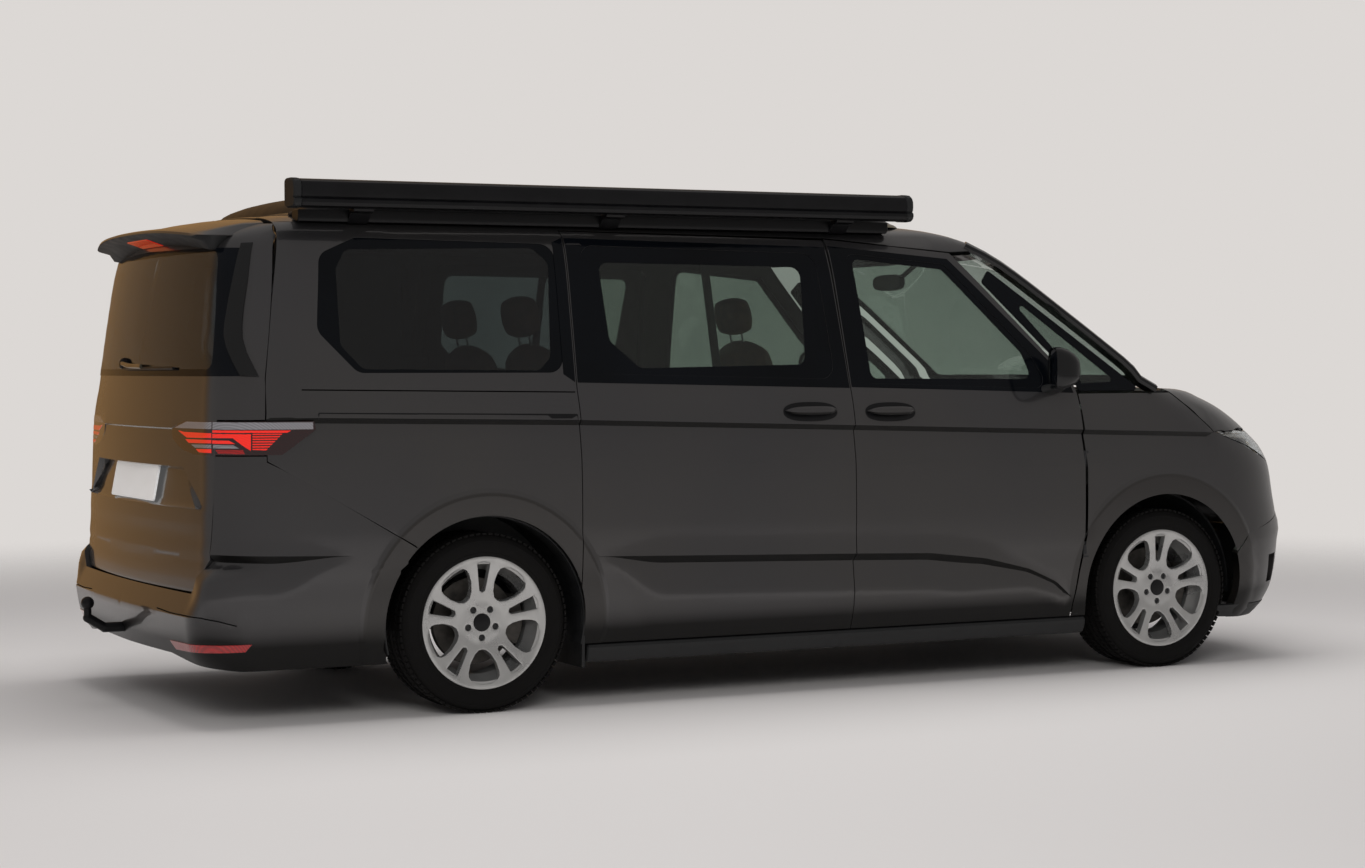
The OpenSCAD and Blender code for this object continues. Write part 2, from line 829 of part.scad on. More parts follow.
module tow_bar() {
    color(black_trim) {
        translate([tow_x, 0, tow_z]) cross_tube(tow_tube_r, -tow_tube_half_l, tow_tube_half_l);
        boxes(TOW_BRACKETS);
        translate([neck_x, 0, tow_z]) rotate([0, 90, 0]) cylinder(r = neck_r, h = tow_x - neck_x);
        translate([neck_x, 0, tow_z]) sphere(neck_r);
        translate([neck_x, 0, tow_z]) rotate([0, neck_tilt, 0]) cylinder(r = neck_top_r, h = neck_l);
        translate([tow_ball_x, 0, neck_top_z]) sphere(neck_top_r);
        translate([tow_ball_x, 0, neck_top_z]) cylinder(r = stem_r, h = tow_ball_z - neck_top_z - 7);
        translate([tow_ball_x, 0, tow_ball_z]) sphere(tow_ball_r);
    }
}

// The engine stands on the front subframe.
subframe_top_z = 290;
ENGINE = [1520, 2120, -375, 375, subframe_top_z + fit, 950];

module engine_block() {
    color("#55585c") box(ENGINE);
}

// Exhaust pipe, silencer and hangers under the floor
pipe_r = 22;
pipe_y = 150;
pipe_z = 262;
PIPE_XS = [-1980, 980];
EXHAUST_BOXES = [
    [-2330, -1970, 60, 420, 225, floor_low_z - fit],
    [-540, -500, pipe_y - 20, pipe_y + 20, pipe_z, floor_low_z - fit],
    [700, 740, pipe_y - 20, pipe_y + 20, pipe_z, floor_low_z - fit],
];

module exhaust() {
    color("#7d8084") {
        translate([along(PIPE_XS[0]), pipe_y, pipe_z]) rotate([0, 90, 0])
            cylinder(r = pipe_r, h = along(PIPE_XS[1]) - along(PIPE_XS[0]));
        boxes(EXHAUST_BOXES);
    }
}

// Front suspension
king_y = wheel_y - 92;
king_z = 200;
king_tilt = 10;
king_r = 10;
king_boss_r = 25;
king_pin_l = 60;
arm_r = 20;
arm_xs = [1480, 1650];
arm_y = 440;
arm_z = 215;
arm_h = 30;
arm_drop = 52;
arm_end_h = 26;
SUBFRAME_BOXES = [
    [1420, 1720, -430, 430, 230, subframe_top_z],
    [1060, 2140, -430, -384, subframe_top_z, 360],
    [1060, 2140, 384, 430, subframe_top_z, 360],
    [1060, 1460, -430, -384, 230, subframe_top_z],
    [1060, 1460, 384, 430, 230, subframe_top_z],
    [1060, 1090, -560, 560, 240 - fit, 300 - fit],
];

module king_axis(up = 0) {
    translate([front_axle_x, -king_y, king_z]) rotate([-king_tilt, 0, 0]) translate([0, 0, up]) children();
}

module front_subframe() {
    color(chassis_grey) {
        boxes(SUBFRAME_BOXES);
        both() {
            for (x = arm_xs) hull() {
                translate([along(x), -arm_y, arm_z]) cylinder(r = arm_r, h = arm_h, $fn = 12);
                king_axis(-arm_drop) cylinder(r = arm_r, h = arm_end_h, $fn = 12);
            }
            king_axis(-arm_drop - 4) cylinder(r = king_boss_r, h = arm_drop + 4 - fit);
            king_axis(-20) cylinder(r = king_r, h = king_pin_l);
        }
    }
}

// Hub, caliper and the pieces that carry them; y is counted inwards from the wheel's middle.
hub_out = 56;
hub_l = 170;
carrier_out_y = wheel_y - 46;
CALIPER = [[115, -72], [188, -72], [188, 26], [115, 26]];
caliper_angle = 60;
disc_room_r = 171;
disc_room = [-38, 42];
carrier_w = 66;
carrier_l = 110;
carrier_zs = [250, 440];
strut_from = 150;
strut_l = 385;
knuckle_boss_h = 70;
steer_arm = [-165, -35, 21, 61, 290, 320];
caliper_arm = [40, 130, 0, 26, 300, 380];

module spindle() {
    translate([0, 0, axle_z]) cross_tube(hub_bore_r - fit, -wheel_y - hub_out, -wheel_y - hub_out + hub_l);
}

module caliper() {
    translate([0, -wheel_y, axle_z]) rotate([90, 0, 0]) rotate([0, 0, -caliper_angle / 2]) difference() {
        rotate_extrude(angle = caliper_angle) polygon(CALIPER);
        translate([0, 0, disc_room[0]]) cylinder(r = disc_room_r, h = disc_room[1]);
    }
}

// A box on the wheel carrier: x from and to, y inwards from and to, z from and to.
module carrier_box(b) {
    translate([0, -carrier_out_y, 0]) box_at(b);
}

module knuckle() {
    color("#3a3c3f") {
        difference() {
            union() {
                translate([front_axle_x, 0, 0]) {
                    spindle();
                    carrier_box([-carrier_l / 2, carrier_l / 2, 0, carrier_w, carrier_zs[0], carrier_zs[1]]);
                    carrier_box(steer_arm);
                    carrier_box(caliper_arm);
                }
                king_axis() cylinder(r = king_boss_r, h = knuckle_boss_h);
                king_axis(strut_from) cylinder(r = king_boss_r, h = strut_l);
            }
            king_axis(-1) cylinder(r = king_r + fit, h = king_pin_l - 10);
        }
        translate([front_axle_x, 0, 0]) caliper();
    }
}

axle_end = 62;
trail_arm = [0, 560, 136, 196, 318, 358];
trail_post = [500, 560, 136, 196, 350, floor_low_z - fit];
spring_seat = [-60, 60, 226, 316, 340, 390 - fit];

module rear_axle() {
    color(chassis_grey) translate([rear_axle_x, 0, 0]) {
        translate([0, 0, axle_z]) cross_tube(axle_r, -wheel_y + axle_end, wheel_y - axle_end);
        both() {
            spindle();
            caliper();
            carrier_box(caliper_arm);
            carrier_box(trail_arm);
            carrier_box(trail_post);
            carrier_box(spring_seat);
        }
    }
}

// A wheel lies along its axle with z pointing out of the van. Profiles are [radius, z].
spokes = 5;
pair_step = 360 / spokes;
first_gap = 54;
first_slot = 90;
spoke_end_r = 240;
bolt_seat_r = 13;
bolt_seat_z = 62;
disc_r = 165;
disc_t = 28;
disc_z = -32;
disc_hat_r = 78;
disc_hat_in_r = 70;
disc_hat_h = 72;
RIM_BARREL = [[247, -110], [247, -103], [229, -100], [224, -70], [205, -40], [205, 40], [222, 75], [229, 100],
    [247, 103], [247, 110], [238, 112], [222, 100], [214, 75], [197, 42], [197, -42], [216, -72], [221, -100],
    [238, -112]];
SPOKE_PROFILE = [[0, 40], [72, 40], [92, 48], [205, 68], [218, 76], [223, 94], [205, 100], [82, 80], [60, 84],
    [0, 84]];
// Windows between and within the spoke pairs. Columns: radius, angle.
GAP = [[206, -20], [211, -10], [212, 0], [211, 10], [206, 20], [104, 16], [96, 0], [104, -16]];
SLOT = [[206, -6.5], [206, 6.5], [112, 5], [104, 0], [112, -5]];

function polar(table) = [for (p = table) [p[0] * cos(p[1]), p[0] * sin(p[1])]];

module spoke_plan() {
    difference() {
        circle(r = spoke_end_r, $fn = 64);
        for (k = [0 : spokes - 1]) {
            rotate(first_gap + pair_step * k) polygon(polar(GAP));
            rotate(first_slot + pair_step * k) polygon(polar(SLOT));
        }
    }
}

module rim() {
    color("#b9bdc1") {
        difference() {
            union() {
                rotate_extrude($fn = 64) polygon(RIM_BARREL);
                intersection() {
                    linear_extrude(150) spoke_plan();
                    rotate_extrude($fn = 64) polygon(SPOKE_PROFILE);
                }
            }
            translate([0, 0, 30]) cylinder(r = hub_bore_r, h = 30);
            for (k = [0 : spokes - 1]) rotate(first_gap + pair_step * k) translate([bolt_circle_d / 2, 0, 0]) {
                cylinder(r = bolt_hole_r, h = 120);
                translate([0, 0, bolt_seat_z]) cylinder(r = bolt_seat_r, h = 60);
            }
        }
        translate([0, 0, disc_z]) difference() {
            union() {
                cylinder(r = disc_r, h = disc_t);
                cylinder(r = disc_hat_r, h = disc_hat_h - fit);
            }
            translate([0, 0, -8]) cylinder(r = disc_hat_in_r, h = disc_hat_h - 6);
            translate([0, 0, -8]) cylinder(r = hub_bore_r, h = 100);
        }
    }
}

// Half of the tyre's outside and inside, from the crown to the bead. Columns: radius, distance from the edge.
TYRE_OUT = [[tyre_r, 38], [tyre_r - 4, 22], [325, 12], [308, 3], [285, 0], [264, 2], [250, 6], [247.5, 16],
    [230, 19]];
TYRE_IN = [[232, 32], [255, 20], [300, 14], [320, 30]];

function half_tyre(side) = [for (p = concat(TYRE_OUT, TYRE_IN)) [p[0], side * (tyre_w / 2 - p[1])]];
function reversed(points) = [for (i = [len(points) - 1 : -1 : 0]) points[i]];

module tyre() {
    color("#1b1c1d") rotate_extrude($fn = 64) polygon(concat(half_tyre(1), reversed(half_tyre(-1))));
}

module at_right(x) {
    translate([x, -wheel_y, axle_z]) rotate([90, 0, 0]) children();
}
module at_left(x) { mirror([0, 1, 0]) at_right(x) children(); }

// Hinge pins and their lugs on the body
door_lug = [23.7, 11, 12];
door_lug_zs = [-33, 21];
door_pin_l = 68;
gate_lug_w = 14;
gate_lug_h = 10;
bonnet_lug_w = 8;
bonnet_lug_h = 5;
lug_in = 0.9;

module hinge_pins() {
    color(black_trim) both() {
        for (z = door_hinge_zs) translate([door_hinge_x, door_hinge_y, z]) {
            translate([0, 0, -door_pin_l / 2]) cylinder(r = hinge_pin_r, h = door_pin_l);
            for (dz = door_lug_zs) translate([-hinge_pin_r, -door_lug[1] / 2, dz]) cube(door_lug);
        }
        at_gate_hinge() {
            cross_tube(gate_pin_r, -gate_pin_l / 2, gate_pin_l / 2);
            for (dy = [-gate_pin_l / 2, gate_pin_l / 2 - gate_lug_w])
                translate([-hinge_pin_r, dy, -gate_lug_h / 2])
                    cube([gate_room_r + hinge_pin_r - lug_in, gate_lug_w, gate_lug_h]);
        }
        at_bonnet_hinge() {
            cross_tube(bonnet_pin_r, -bonnet_pin_l / 2, bonnet_pin_l / 2);
            for (dy = [-bonnet_pin_l / 2, bonnet_pin_l / 2 - bonnet_lug_w])
                translate([-cowl_room_r + 0.5, dy, -bonnet_lug_h / 2])
                    cube([cowl_room_r + 4, bonnet_lug_w, bonnet_lug_h]);
        }
        at_pop_hinge() cross_tube(pop_pin_r, -pop_pin_l / 2, pop_pin_l / 2);
        pop_lugs(0, pop_lug_low + 6);
    }
}

// Dashboard, steering wheel, seats and cabinet
dash_half_w = 790;
DASH_SIDE = [[1060, 780], [1010, 960], [1100, 1075], [1330, 1120], [1440 - fit, 1120], [1440 - fit, 780]];
steer_x = along(985);
steer_y = 400;
steer_z = 1050;
steer_tilt = -65;
steer_r = 175;
steer_grip_r = 15;
steer_hub_r = 62;
steer_hub_h = 30;
steer_spoke = [170, 28, 16];
column_r = 26;
column_from = -90;

module at_steering() {
    translate([steer_x, steer_y, steer_z]) rotate([0, steer_tilt, 0]) children();
}

module dashboard() {
    color("#2b2a29") {
        translate([0, dash_half_w, 0]) rotate([90, 0, 0]) linear_extrude(2 * dash_half_w)
            polygon(moved(DASH_SIDE));
        at_steering() translate([0, 0, column_from])
            cylinder(r = column_r, h = -column_from - steer_hub_h / 2 - fit);
    }
}

module steering_wheel() {
    color("#1d1d1e") at_steering() {
        rotate_extrude($fn = 48) translate([steer_r, 0]) circle(steer_grip_r, $fn = 16);
        for (a = [0, 120, 240]) rotate(a)
            translate([0, -steer_spoke[1] / 2, -steer_spoke[2] / 2]) cube(steer_spoke);
        cylinder(r = steer_hub_r, h = steer_hub_h, center = true);
    }
}

// Seats. Columns: x, y, width, height of the base.
FRONT_SEATS = [[600, -400, 520, 260], [600, 400, 520, 260]];
REAR_SEATS = [[-750, -330, 500, 240], [-750, 330, 500, 240]];
base_half_l = 220;
base_inset = 40;
pad_r = 35;
cushion_half_l = 230;
cushion_zs = [31, 105];
back_x = -255;
back_t = 60;
back_z = 150;
back_h = 560;
back_lean = 0.28;
rest_x = -415;
rest_t = 40;
rest_half_w = 95;
rest_z = 758;
rest_h = 110;
rest_lean = 0.2;
rest_r = 30;

module seat(s) {
    half_w = s[2] / 2;
    lift = s[3];
    translate([along(s[0]), s[1], floor_top + fit]) {
        translate([-base_half_l, -half_w + base_inset, 0])
            cube([2 * base_half_l, 2 * (half_w - base_inset), lift]);
        hull() for (dx = [-cushion_half_l, cushion_half_l], dy = [-half_w + 40, half_w - 40], dz = cushion_zs)
            translate([dx, dy, lift + dz]) sphere(pad_r, $fn = 6);
        hull() for (dx = [0, back_t], dy = [-half_w + 45, half_w - 45], dz = [0, back_h])
            translate([back_x + dx - dz * back_lean, dy, lift + back_z + dz]) sphere(pad_r, $fn = 6);
        hull() for (dx = [0, rest_t], dy = [-rest_half_w, rest_half_w], dz = [0, rest_h])
            translate([rest_x + dx - dz * rest_lean, dy, lift + rest_z + dz]) sphere(rest_r, $fn = 6);
    }
}

module front_seats() {
    color("#6a5444") for (s = FRONT_SEATS) seat(s);
}

module rear_seats() {
    color("#6a5444") for (s = REAR_SEATS) seat(s);
}

CABINET = [-2150, -1270, 380, 630, floor_top + fit, 1340];

module kitchen_unit() {
    color("#b9a68c") box(CABINET);
}

// Moving hinge halves

module tailgate_hinges() {
    color(black_trim) both() at_gate_hinge() difference() {
        union() {
            cross_tube(gate_barrel_r, -gate_barrel_l / 2, gate_barrel_l / 2);
            gate_leaf(0);
        }
        cross_tube(gate_pin_r + fit, -gate_pin_l / 2, gate_pin_l / 2);
    }
}

module bonnet_hinges() {
    color(black_trim) both() at_bonnet_hinge() difference() {
        union() {
            cross_tube(bonnet_barrel_r, -bonnet_barrel_l / 2, bonnet_barrel_l / 2);
            bonnet_leaf(0);
        }
        cross_tube(bonnet_pin_r + fit, -bonnet_pin_l / 2, bonnet_pin_l / 2);
    }
}

module pop_roof_hinges() {
    color(black_trim) both() at_pop_hinge() difference() {
        union() {
            cross_tube(pop_barrel_r, -pop_barrel_l / 2, pop_barrel_l / 2);
            pop_leaf(0);
        }
        cross_tube(pop_pin_r + fit, -pop_pin_l / 2, pop_pin_l / 2);
    }
}

// Pieces by name
// One piece by name, or all

module in_frame() { translate([frame_x, 0, 0]) children(); }

in_frame() floor_pan();
in_frame() roof_panel();
in_frame() side_panel();  // side_panel_right
in_frame() left_of() side_panel();  // side_panel_left
in_frame() front_wing();  // front_wing_right
in_frame() left_of() front_wing();  // front_wing_left
in_frame() windscreen();
in_frame() side_windows();
in_frame() sliding_door();  // sliding_door_right
in_frame() left_of() sliding_door();  // sliding_door_left
in_frame() front_bumper();
in_frame() grille();
in_frame() headlamps();
in_frame() nose_bar();
in_frame() rear_bumper();
in_frame() tail_lamps();
in_frame() side_sills();
in_frame() wheel_liners();
in_frame() awning();
in_frame() tow_bar();
in_frame() engine_block();
in_frame() exhaust();
in_frame() front_subframe();
in_frame() rear_axle();
in_frame() dashboard();
in_frame() front_seats();
in_frame() rear_seats();
in_frame() kitchen_unit();
in_frame() hinge_pins();
in_frame() front_door();  // front_door_right
in_frame() left_of() front_door();  // front_door_left
in_frame() front_door_window();  // front_door_window_right
in_frame() left_of() front_door_window();  // front_door_window_left
in_frame() mirror_part();  // mirror_right
in_frame() left_of() mirror_part();  // mirror_left
in_frame() door_hinge_leaf();  // door_hinge_right
in_frame() left_of() door_hinge_leaf();  // door_hinge_left
in_frame() tailgate();
in_frame() rear_window();
in_frame() tailgate_lamps();
in_frame() tailgate_hinges();
in_frame() bonnet();
in_frame() bonnet_hinges();
in_frame() pop_roof();
in_frame() pop_roof_hinges();
in_frame() knuckle();  // knuckle_right
in_frame() left_of() knuckle();  // knuckle_left
in_frame() at_right(front_axle_x) rim();  // rim_front_right
in_frame() at_left(front_axle_x) rim();  // rim_front_left
in_frame() at_right(rear_axle_x) rim();  // rim_rear_right
in_frame() at_left(rear_axle_x) rim();  // rim_rear_left
in_frame() at_right(front_axle_x) tyre();  // tyre_front_right
in_frame() at_left(front_axle_x) tyre();  // tyre_front_left
in_frame() at_right(rear_axle_x) tyre();  // tyre_rear_right
in_frame() at_left(rear_axle_x) tyre();  // tyre_rear_left
in_frame() steering_wheel();
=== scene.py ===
import bpy, bmesh, math
import numpy as np
from mathutils import Vector, Matrix
from mathutils.geometry import delaunay_2d_cdt


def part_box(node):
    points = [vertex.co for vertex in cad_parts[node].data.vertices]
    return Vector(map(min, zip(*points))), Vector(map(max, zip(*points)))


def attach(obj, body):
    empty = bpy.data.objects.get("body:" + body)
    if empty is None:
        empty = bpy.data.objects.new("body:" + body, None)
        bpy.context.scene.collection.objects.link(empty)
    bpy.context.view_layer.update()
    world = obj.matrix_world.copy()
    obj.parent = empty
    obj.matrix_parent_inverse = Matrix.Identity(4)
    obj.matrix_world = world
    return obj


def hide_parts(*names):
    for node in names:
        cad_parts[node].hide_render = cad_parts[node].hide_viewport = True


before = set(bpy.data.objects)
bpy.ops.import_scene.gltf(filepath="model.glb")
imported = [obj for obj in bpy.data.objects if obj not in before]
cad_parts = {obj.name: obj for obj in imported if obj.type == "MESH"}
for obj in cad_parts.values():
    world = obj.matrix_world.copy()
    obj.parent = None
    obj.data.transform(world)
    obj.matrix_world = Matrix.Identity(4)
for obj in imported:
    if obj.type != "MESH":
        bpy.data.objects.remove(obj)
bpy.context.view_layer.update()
for old in [o for o in bpy.data.objects if o.type in ("CAMERA", "LIGHT")]:
    bpy.data.objects.remove(old)


def boxMiddle(node):
    low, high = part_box(node)
    return (low + high) / 2


# tables below are in millimetres, x counted from the middle of the wheelbase
frontHub, rearHub = boxMiddle("tyre_front_right"), boxMiddle("tyre_rear_right")
midX = (frontHub.x + rearHub.x) / 2
axleX = (frontHub.x - rearHub.x) / 2 * 1000
axleZ = frontHub.z * 1000
wheelY = -frontHub.y * 1000
print("frame loaded,", len(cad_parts), "nodes")


# materials
def hexColour(text):
    parts = [int(text[i:i + 2], 16) / 255 for i in (1, 3, 5)]
    return tuple(c / 12.92 if c <= 0.04045 else ((c + 0.055) / 1.055) ** 2.4 for c in parts) + (1,)


def addNode(tree, kind, inputs=None, **settings):
    made = tree.nodes.new(kind)
    for key, value in settings.items():
        setattr(made, key, value)
    for key, value in (inputs or {}).items():
        if isinstance(value, bpy.types.NodeSocket):
            tree.links.new(value, made.inputs[key])
        else:
            made.inputs[key].default_value = value
    return made


def newMaterial(name, colour, **sockets):
    made = bpy.data.materials.new(name)
    made.use_nodes = True
    tree = made.node_tree
    shader = tree.nodes["Principled BSDF"]
    shader.inputs["Base Color"].default_value = hexColour(colour)
    for key, value in sockets.items():
        shader.inputs[key.replace("_", " ")].default_value = value
    made.diffuse_color = hexColour(colour)
    return made, tree, shader


def spread(tree, value, low=0.0, high=1.0, first=0.0, last=1.0):
    span = {"Value": value, "From Min": low, "From Max": high, "To Min": first, "To Max": last}
    return addNode(tree, "ShaderNodeMapRange", span).outputs["Result"]


def addBump(tree, shader, height, strength, distance):
    bump = addNode(tree, "ShaderNodeBump", {"Height": height, "Strength": strength, "Distance": distance})
    tree.links.new(bump.outputs["Normal"], shader.inputs["Normal"])


def blendColour(tree, share, first, second):
    return addNode(tree, "ShaderNodeMix", {0: share, 6: first, 7: second}, data_type="RGBA").outputs[2]


patchRange = (0.3, 0.7)  # the part of a noise's range that is used


def mottle(tree, shader, dark, pale, patchMm, roughLow, roughHigh, bumpMm=0.0, grainMm=1.0, strength=0.2):
    # soft colour change in patches, roughness that follows it, and a fine grain as bump
    where = addNode(tree, "ShaderNodeTexCoord").outputs["Object"]
    patches = addNode(tree, "ShaderNodeTexNoise", {"Vector": where, "Scale": 1000 / patchMm, "Detail": 4.0}).outputs["Fac"]
    tint = addNode(tree, "ShaderNodeValToRGB", {"Fac": patches})
    for stop, position, colour in zip(tint.color_ramp.elements, patchRange, (dark, pale)):
        stop.position, stop.color = position, hexColour(colour)
    tree.links.new(tint.outputs["Color"], shader.inputs["Base Color"])
    tree.links.new(spread(tree, patches, *patchRange, roughLow, roughHigh), shader.inputs["Roughness"])
    if bumpMm:
        grain = addNode(tree, "ShaderNodeTexNoise", {"Vector": where, "Scale": 1000 / grainMm, "Detail": 2.0})
        addBump(tree, shader, grain.outputs["Fac"], strength, bumpMm / 1000)


# under: the range of normal height over which downward faces fade into painted shade
paintLook = {"flakeMm": 1.6, "driftMm": 900.0, "lip": (0.486, 0.493), "under": (-0.28, -0.06)}  # real flake is finer


def paintMaterial(name, shaded):
    # metallic car paint: dark warm grey with aluminium flake under a clear lacquer that mirrors the room;
    # the arch lips are a shade deeper, and faces that look down get painted shade, a near-black base with little
    # lacquer gloss
    made, tree, shader = newMaterial(name, "#3e3d3f", Metallic=0.62, Roughness=0.36, Coat_Weight=1.0, Coat_Roughness=0.035,
                                     Coat_IOR=1.5)
    place = addNode(tree, "ShaderNodeTexCoord")
    where = place.outputs["Object"]
    flake = addNode(tree, "ShaderNodeTexVoronoi", {"Vector": where, "Scale": 1000 / paintLook["flakeMm"]})
    drift = addNode(tree, "ShaderNodeTexNoise", {"Vector": where, "Scale": 1000 / paintLook["driftMm"], "Detail": 2.0})
    tint = blendColour(tree, spread(tree, drift.outputs["Fac"], *patchRange), hexColour("#3c3b3d"), hexColour("#42403f"))
    level = addNode(tree, "ShaderNodeVectorMath", {0: where, 1: (1, 0, 1)}, operation="MULTIPLY").outputs["Vector"]
    for hub in (frontHub, rearHub):
        reach = addNode(tree, "ShaderNodeVectorMath", {0: level, 1: (hub.x, 0, hub.z)}, operation="DISTANCE")
        lip = spread(tree, reach.outputs["Value"], *paintLook["lip"], 1.0, 0.0)
        tint = blendColour(tree, lip, tint, hexColour("#2c2927"))
    if shaded:
        # painted shade: faces that point down take a near-black colour and lose most lacquer, in place of the dark
        # ground they would mirror
        lean = addNode(tree, "ShaderNodeSeparateXYZ", {"Vector": place.outputs["Normal"]})
        under = spread(tree, lean.outputs["Z"], *paintLook["under"], 1.0, 0.0)
        tint = blendColour(tree, under, tint, hexColour("#0d0c0b"))
        tree.links.new(spread(tree, under, 0.0, 1.0, 1.0, 0.1), shader.inputs["Coat Weight"])
    tree.links.new(tint, shader.inputs["Base Color"])
    addBump(tree, shader, flake.outputs["Distance"], 0.05, 0.0003)
    return made


def glassMaterial(name, dark, pale):
    # toughened glass, tinted in the mass: mirrors at a glancing look, and lamps reach the cabin through it
    made, tree, shader = newMaterial(name, pale, IOR=1.45, Transmission_Weight=1.0)
    mottle(tree, shader, dark, pale, 420, 0.0, 0.015)
    rays = addNode(tree, "ShaderNodeLightPath")
    clear = addNode(tree, "ShaderNodeBsdfTransparent", {"Color": hexColour(pale)})
    mixed = addNode(tree, "ShaderNodeMixShader", {0: rays.outputs["Is Shadow Ray"], 1: shader.outputs[0], 2: clear.outputs[0]})
    tree.links.new(mixed.outputs[0], tree.nodes["Material Output"].inputs["Surface"])
    return made


def lensMaterial(name, dark, pale, pitchMm, **sockets):
    # moulded acrylic: fine upright prisms inside a polished face
    made, tree, shader = newMaterial(name, pale, Roughness=0.1, Coat_Weight=1.0, Coat_Roughness=0.02, **sockets)
    where = addNode(tree, "ShaderNodeTexCoord").outputs["Object"]
    waves = {"Vector": where, "Scale": 314.0 / pitchMm}
    prisms = addNode(tree, "ShaderNodeTexWave", waves, bands_direction="DIAGONAL").outputs["Fac"]
    tree.links.new(blendColour(tree, prisms, hexColour(dark), hexColour(pale)), shader.inputs["Base Color"])
    addBump(tree, shader, prisms, 0.15, 0.0008)
    return made


def plainMaterial(name, dark, pale, *look, **sockets):
    made, tree, shader = newMaterial(name, pale, **sockets)
    mottle(tree, shader, dark, pale, *look)
    return made


paint = paintMaterial("metallicPaint", True)
# the same paint without the painted shade on downward faces, for the tailgate
gatePaint = paintMaterial("metallicPaintTail", False)
# smooth black lacquer on mouldings
pianoBlack = plainMaterial("pianoBlackLacquer", "#08090a", "#0d0e10", 400, 0.10, 0.16, Coat_Weight=0.4, Coat_Roughness=0.03,
                           Specular_IOR_Level=0.3)
# blue-black enamel baked on glass
enamelFrit = plainMaterial("ceramicFrit", "#06080b", "#0a0d12", 500, 0.08, 0.14, Specular_IOR_Level=0.16)
# pale rolled strip
trimAluminium = plainMaterial("anodisedTrim", "#8d8574", "#a39a86", 80, 0.2, 0.3, Metallic=0.9)
# moulded, leather-like grain
grainPlastic = plainMaterial("grainedPolypropylene", "#121314", "#1b1c1d", 60, 0.5, 0.65, 0.4, 1.8)
# baked powder, faint orange peel
satinBlack = plainMaterial("blackPowderCoat", "#08080a", "#0e0e10", 90, 0.32, 0.42, 0.15, 0.9, 0.12, Specular_IOR_Level=0.3)
privacyGlass = glassMaterial("privacyGlass", "#5a6165", "#61686c")
tintedGlass = glassMaterial("tintedGlass", "#84918a", "#8a978f")
clearGlass = glassMaterial("windowGlass", "#a2b0a8", "#a9b6ae")
# dull carbon-black rubber
tyreRubber = plainMaterial("tyreRubber", "#0b0a0a", "#121110", 45, 0.68, 0.85, 0.5, 1.2, Specular_IOR_Level=0.2)
# silver lacquer on the cast rim
castAlloy = plainMaterial("lacqueredAlloy", "#b4b4b3", "#cbcbc9", 160, 0.24, 0.34, 0.1, 0.8, 0.1, Metallic=0.8)
# rough grey casting
castIron = plainMaterial("castIron", "#4a4846", "#6b6762", 30, 0.45, 0.65, 0.3, 2.0, Metallic=0.8)
# dark dip enamel on pressed steel
chassisSteel = plainMaterial("chassisEnamel", "#17181a", "#242527", 120, 0.45, 0.6, 0.3, 3.0)
# silvered glass, almost a clean mirror
mirrorChrome = plainMaterial("mirrorGlass", "#b8bcc0", "#c4c8cc", 300, 0.02, 0.04, Metallic=1.0)
# bright plating, slightly soft
chrome = plainMaterial("chromePlate", "#c9cbcd", "#d9dbdc", 120, 0.06, 0.12, Metallic=1.0)
# printed oak foil, matt
cabinetWood = plainMaterial("cabinetLaminate", "#4a3f33", "#574b3d", 90, 0.45, 0.55)
# dark grained moulding
cabinPlastic = plainMaterial("cabinPlastic", "#1f1e1e", "#2b2a29", 50, 0.5, 0.65, 0.4, 1.6)
# white plate sheet, with a faint painted glow that lifts it out of the shade of its recess
plateWhitePaintedGlow = plainMaterial("platePlastic", "#f0f0ee", "#f8f8f6", 60, 0.3, 0.4, Emission_Color=hexColour("#ffffff"),
                           Emission_Strength=0.2)
redLens = lensMaterial("redAcrylic", "#8c0508", "#b10a0c", 5)
litLens = lensMaterial("litRedAcrylic", "#d6140c", "#ee2014", 5, Emission_Color=hexColour("#ff2a16"), Emission_Strength=0.35)
darkLens = lensMaterial("darkRedAcrylic", "#1a0305", "#2a0508", 7)
paleLens = lensMaterial("frostedAcrylic", "#7f7c80", "#98969a", 6)
goldLens = lensMaterial("goldAcrylic", "#2a2319", "#5d4c30", 6)
clearLens = glassMaterial("clearPolycarbonate", "#e2e6e8", "#e8ecee")
print("materials ready")

# the body's surface: z, half width, rear x, front x, rear bow, front bow, rear corner x and y,
# front corner x and y
bodyLevels = [
    (185, 895, -2600, 2350, 30, 70, 180, 180, 440, 430), (230, 915, -2655, 2400, 30, 70, 180, 180, 450, 440),
    (330, 945, -2694, 2448, 30, 70, 180, 180, 470, 450), (450, 958, -2705, 2466, 30, 70, 180, 180, 480, 450),
    (540, 966, -2700, 2468, 32, 70, 185, 185, 480, 450), (590, 968, -2662, 2462, 45, 70, 240, 195, 480, 450),
    (720, 971, -2655, 2440, 48, 75, 245, 200, 480, 450), (850, 970, -2652, 2420, 50, 80, 250, 200, 480, 450),
    (930, 967, -2650, 2385, 50, 90, 250, 200, 480, 450), (1000, 963, -2648, 2315, 50, 100, 250, 200, 480, 440),
    (1080, 957, -2645, 2205, 50, 100, 250, 200, 500, 420), (1150, 944, -2638, 2060, 50, 110, 250, 195, 480, 380),
    (1186, 933, -2634, 1925, 50, 115, 250, 195, 440, 330), (1192, 931, -2633, 1720, 50, 130, 250, 195, 70, 50),
    (1300, 904, -2620, 1570, 50, 130, 240, 180, 65, 45), (1500, 854, -2598, 1297, 50, 130, 220, 160, 60, 40),
    (1700, 799, -2570, 1022, 50, 130, 190, 140, 60, 40), (1780, 765, -2545, 905, 60, 140, 170, 130, 60, 50),
    (1820, 725, -2490, 830, 70, 140, 170, 150, 80, 70), (1850, 660, -2410, 745, 80, 130, 180, 160, 110, 100),
    (1872, 560, -2310, 640, 80, 120, 180, 160, 130, 120), (1885, 420, -2190, 520, 70, 100, 170, 150, 140, 120),
    (1892, 240, -2020, 380, 50, 70, 120, 100, 100, 80)]
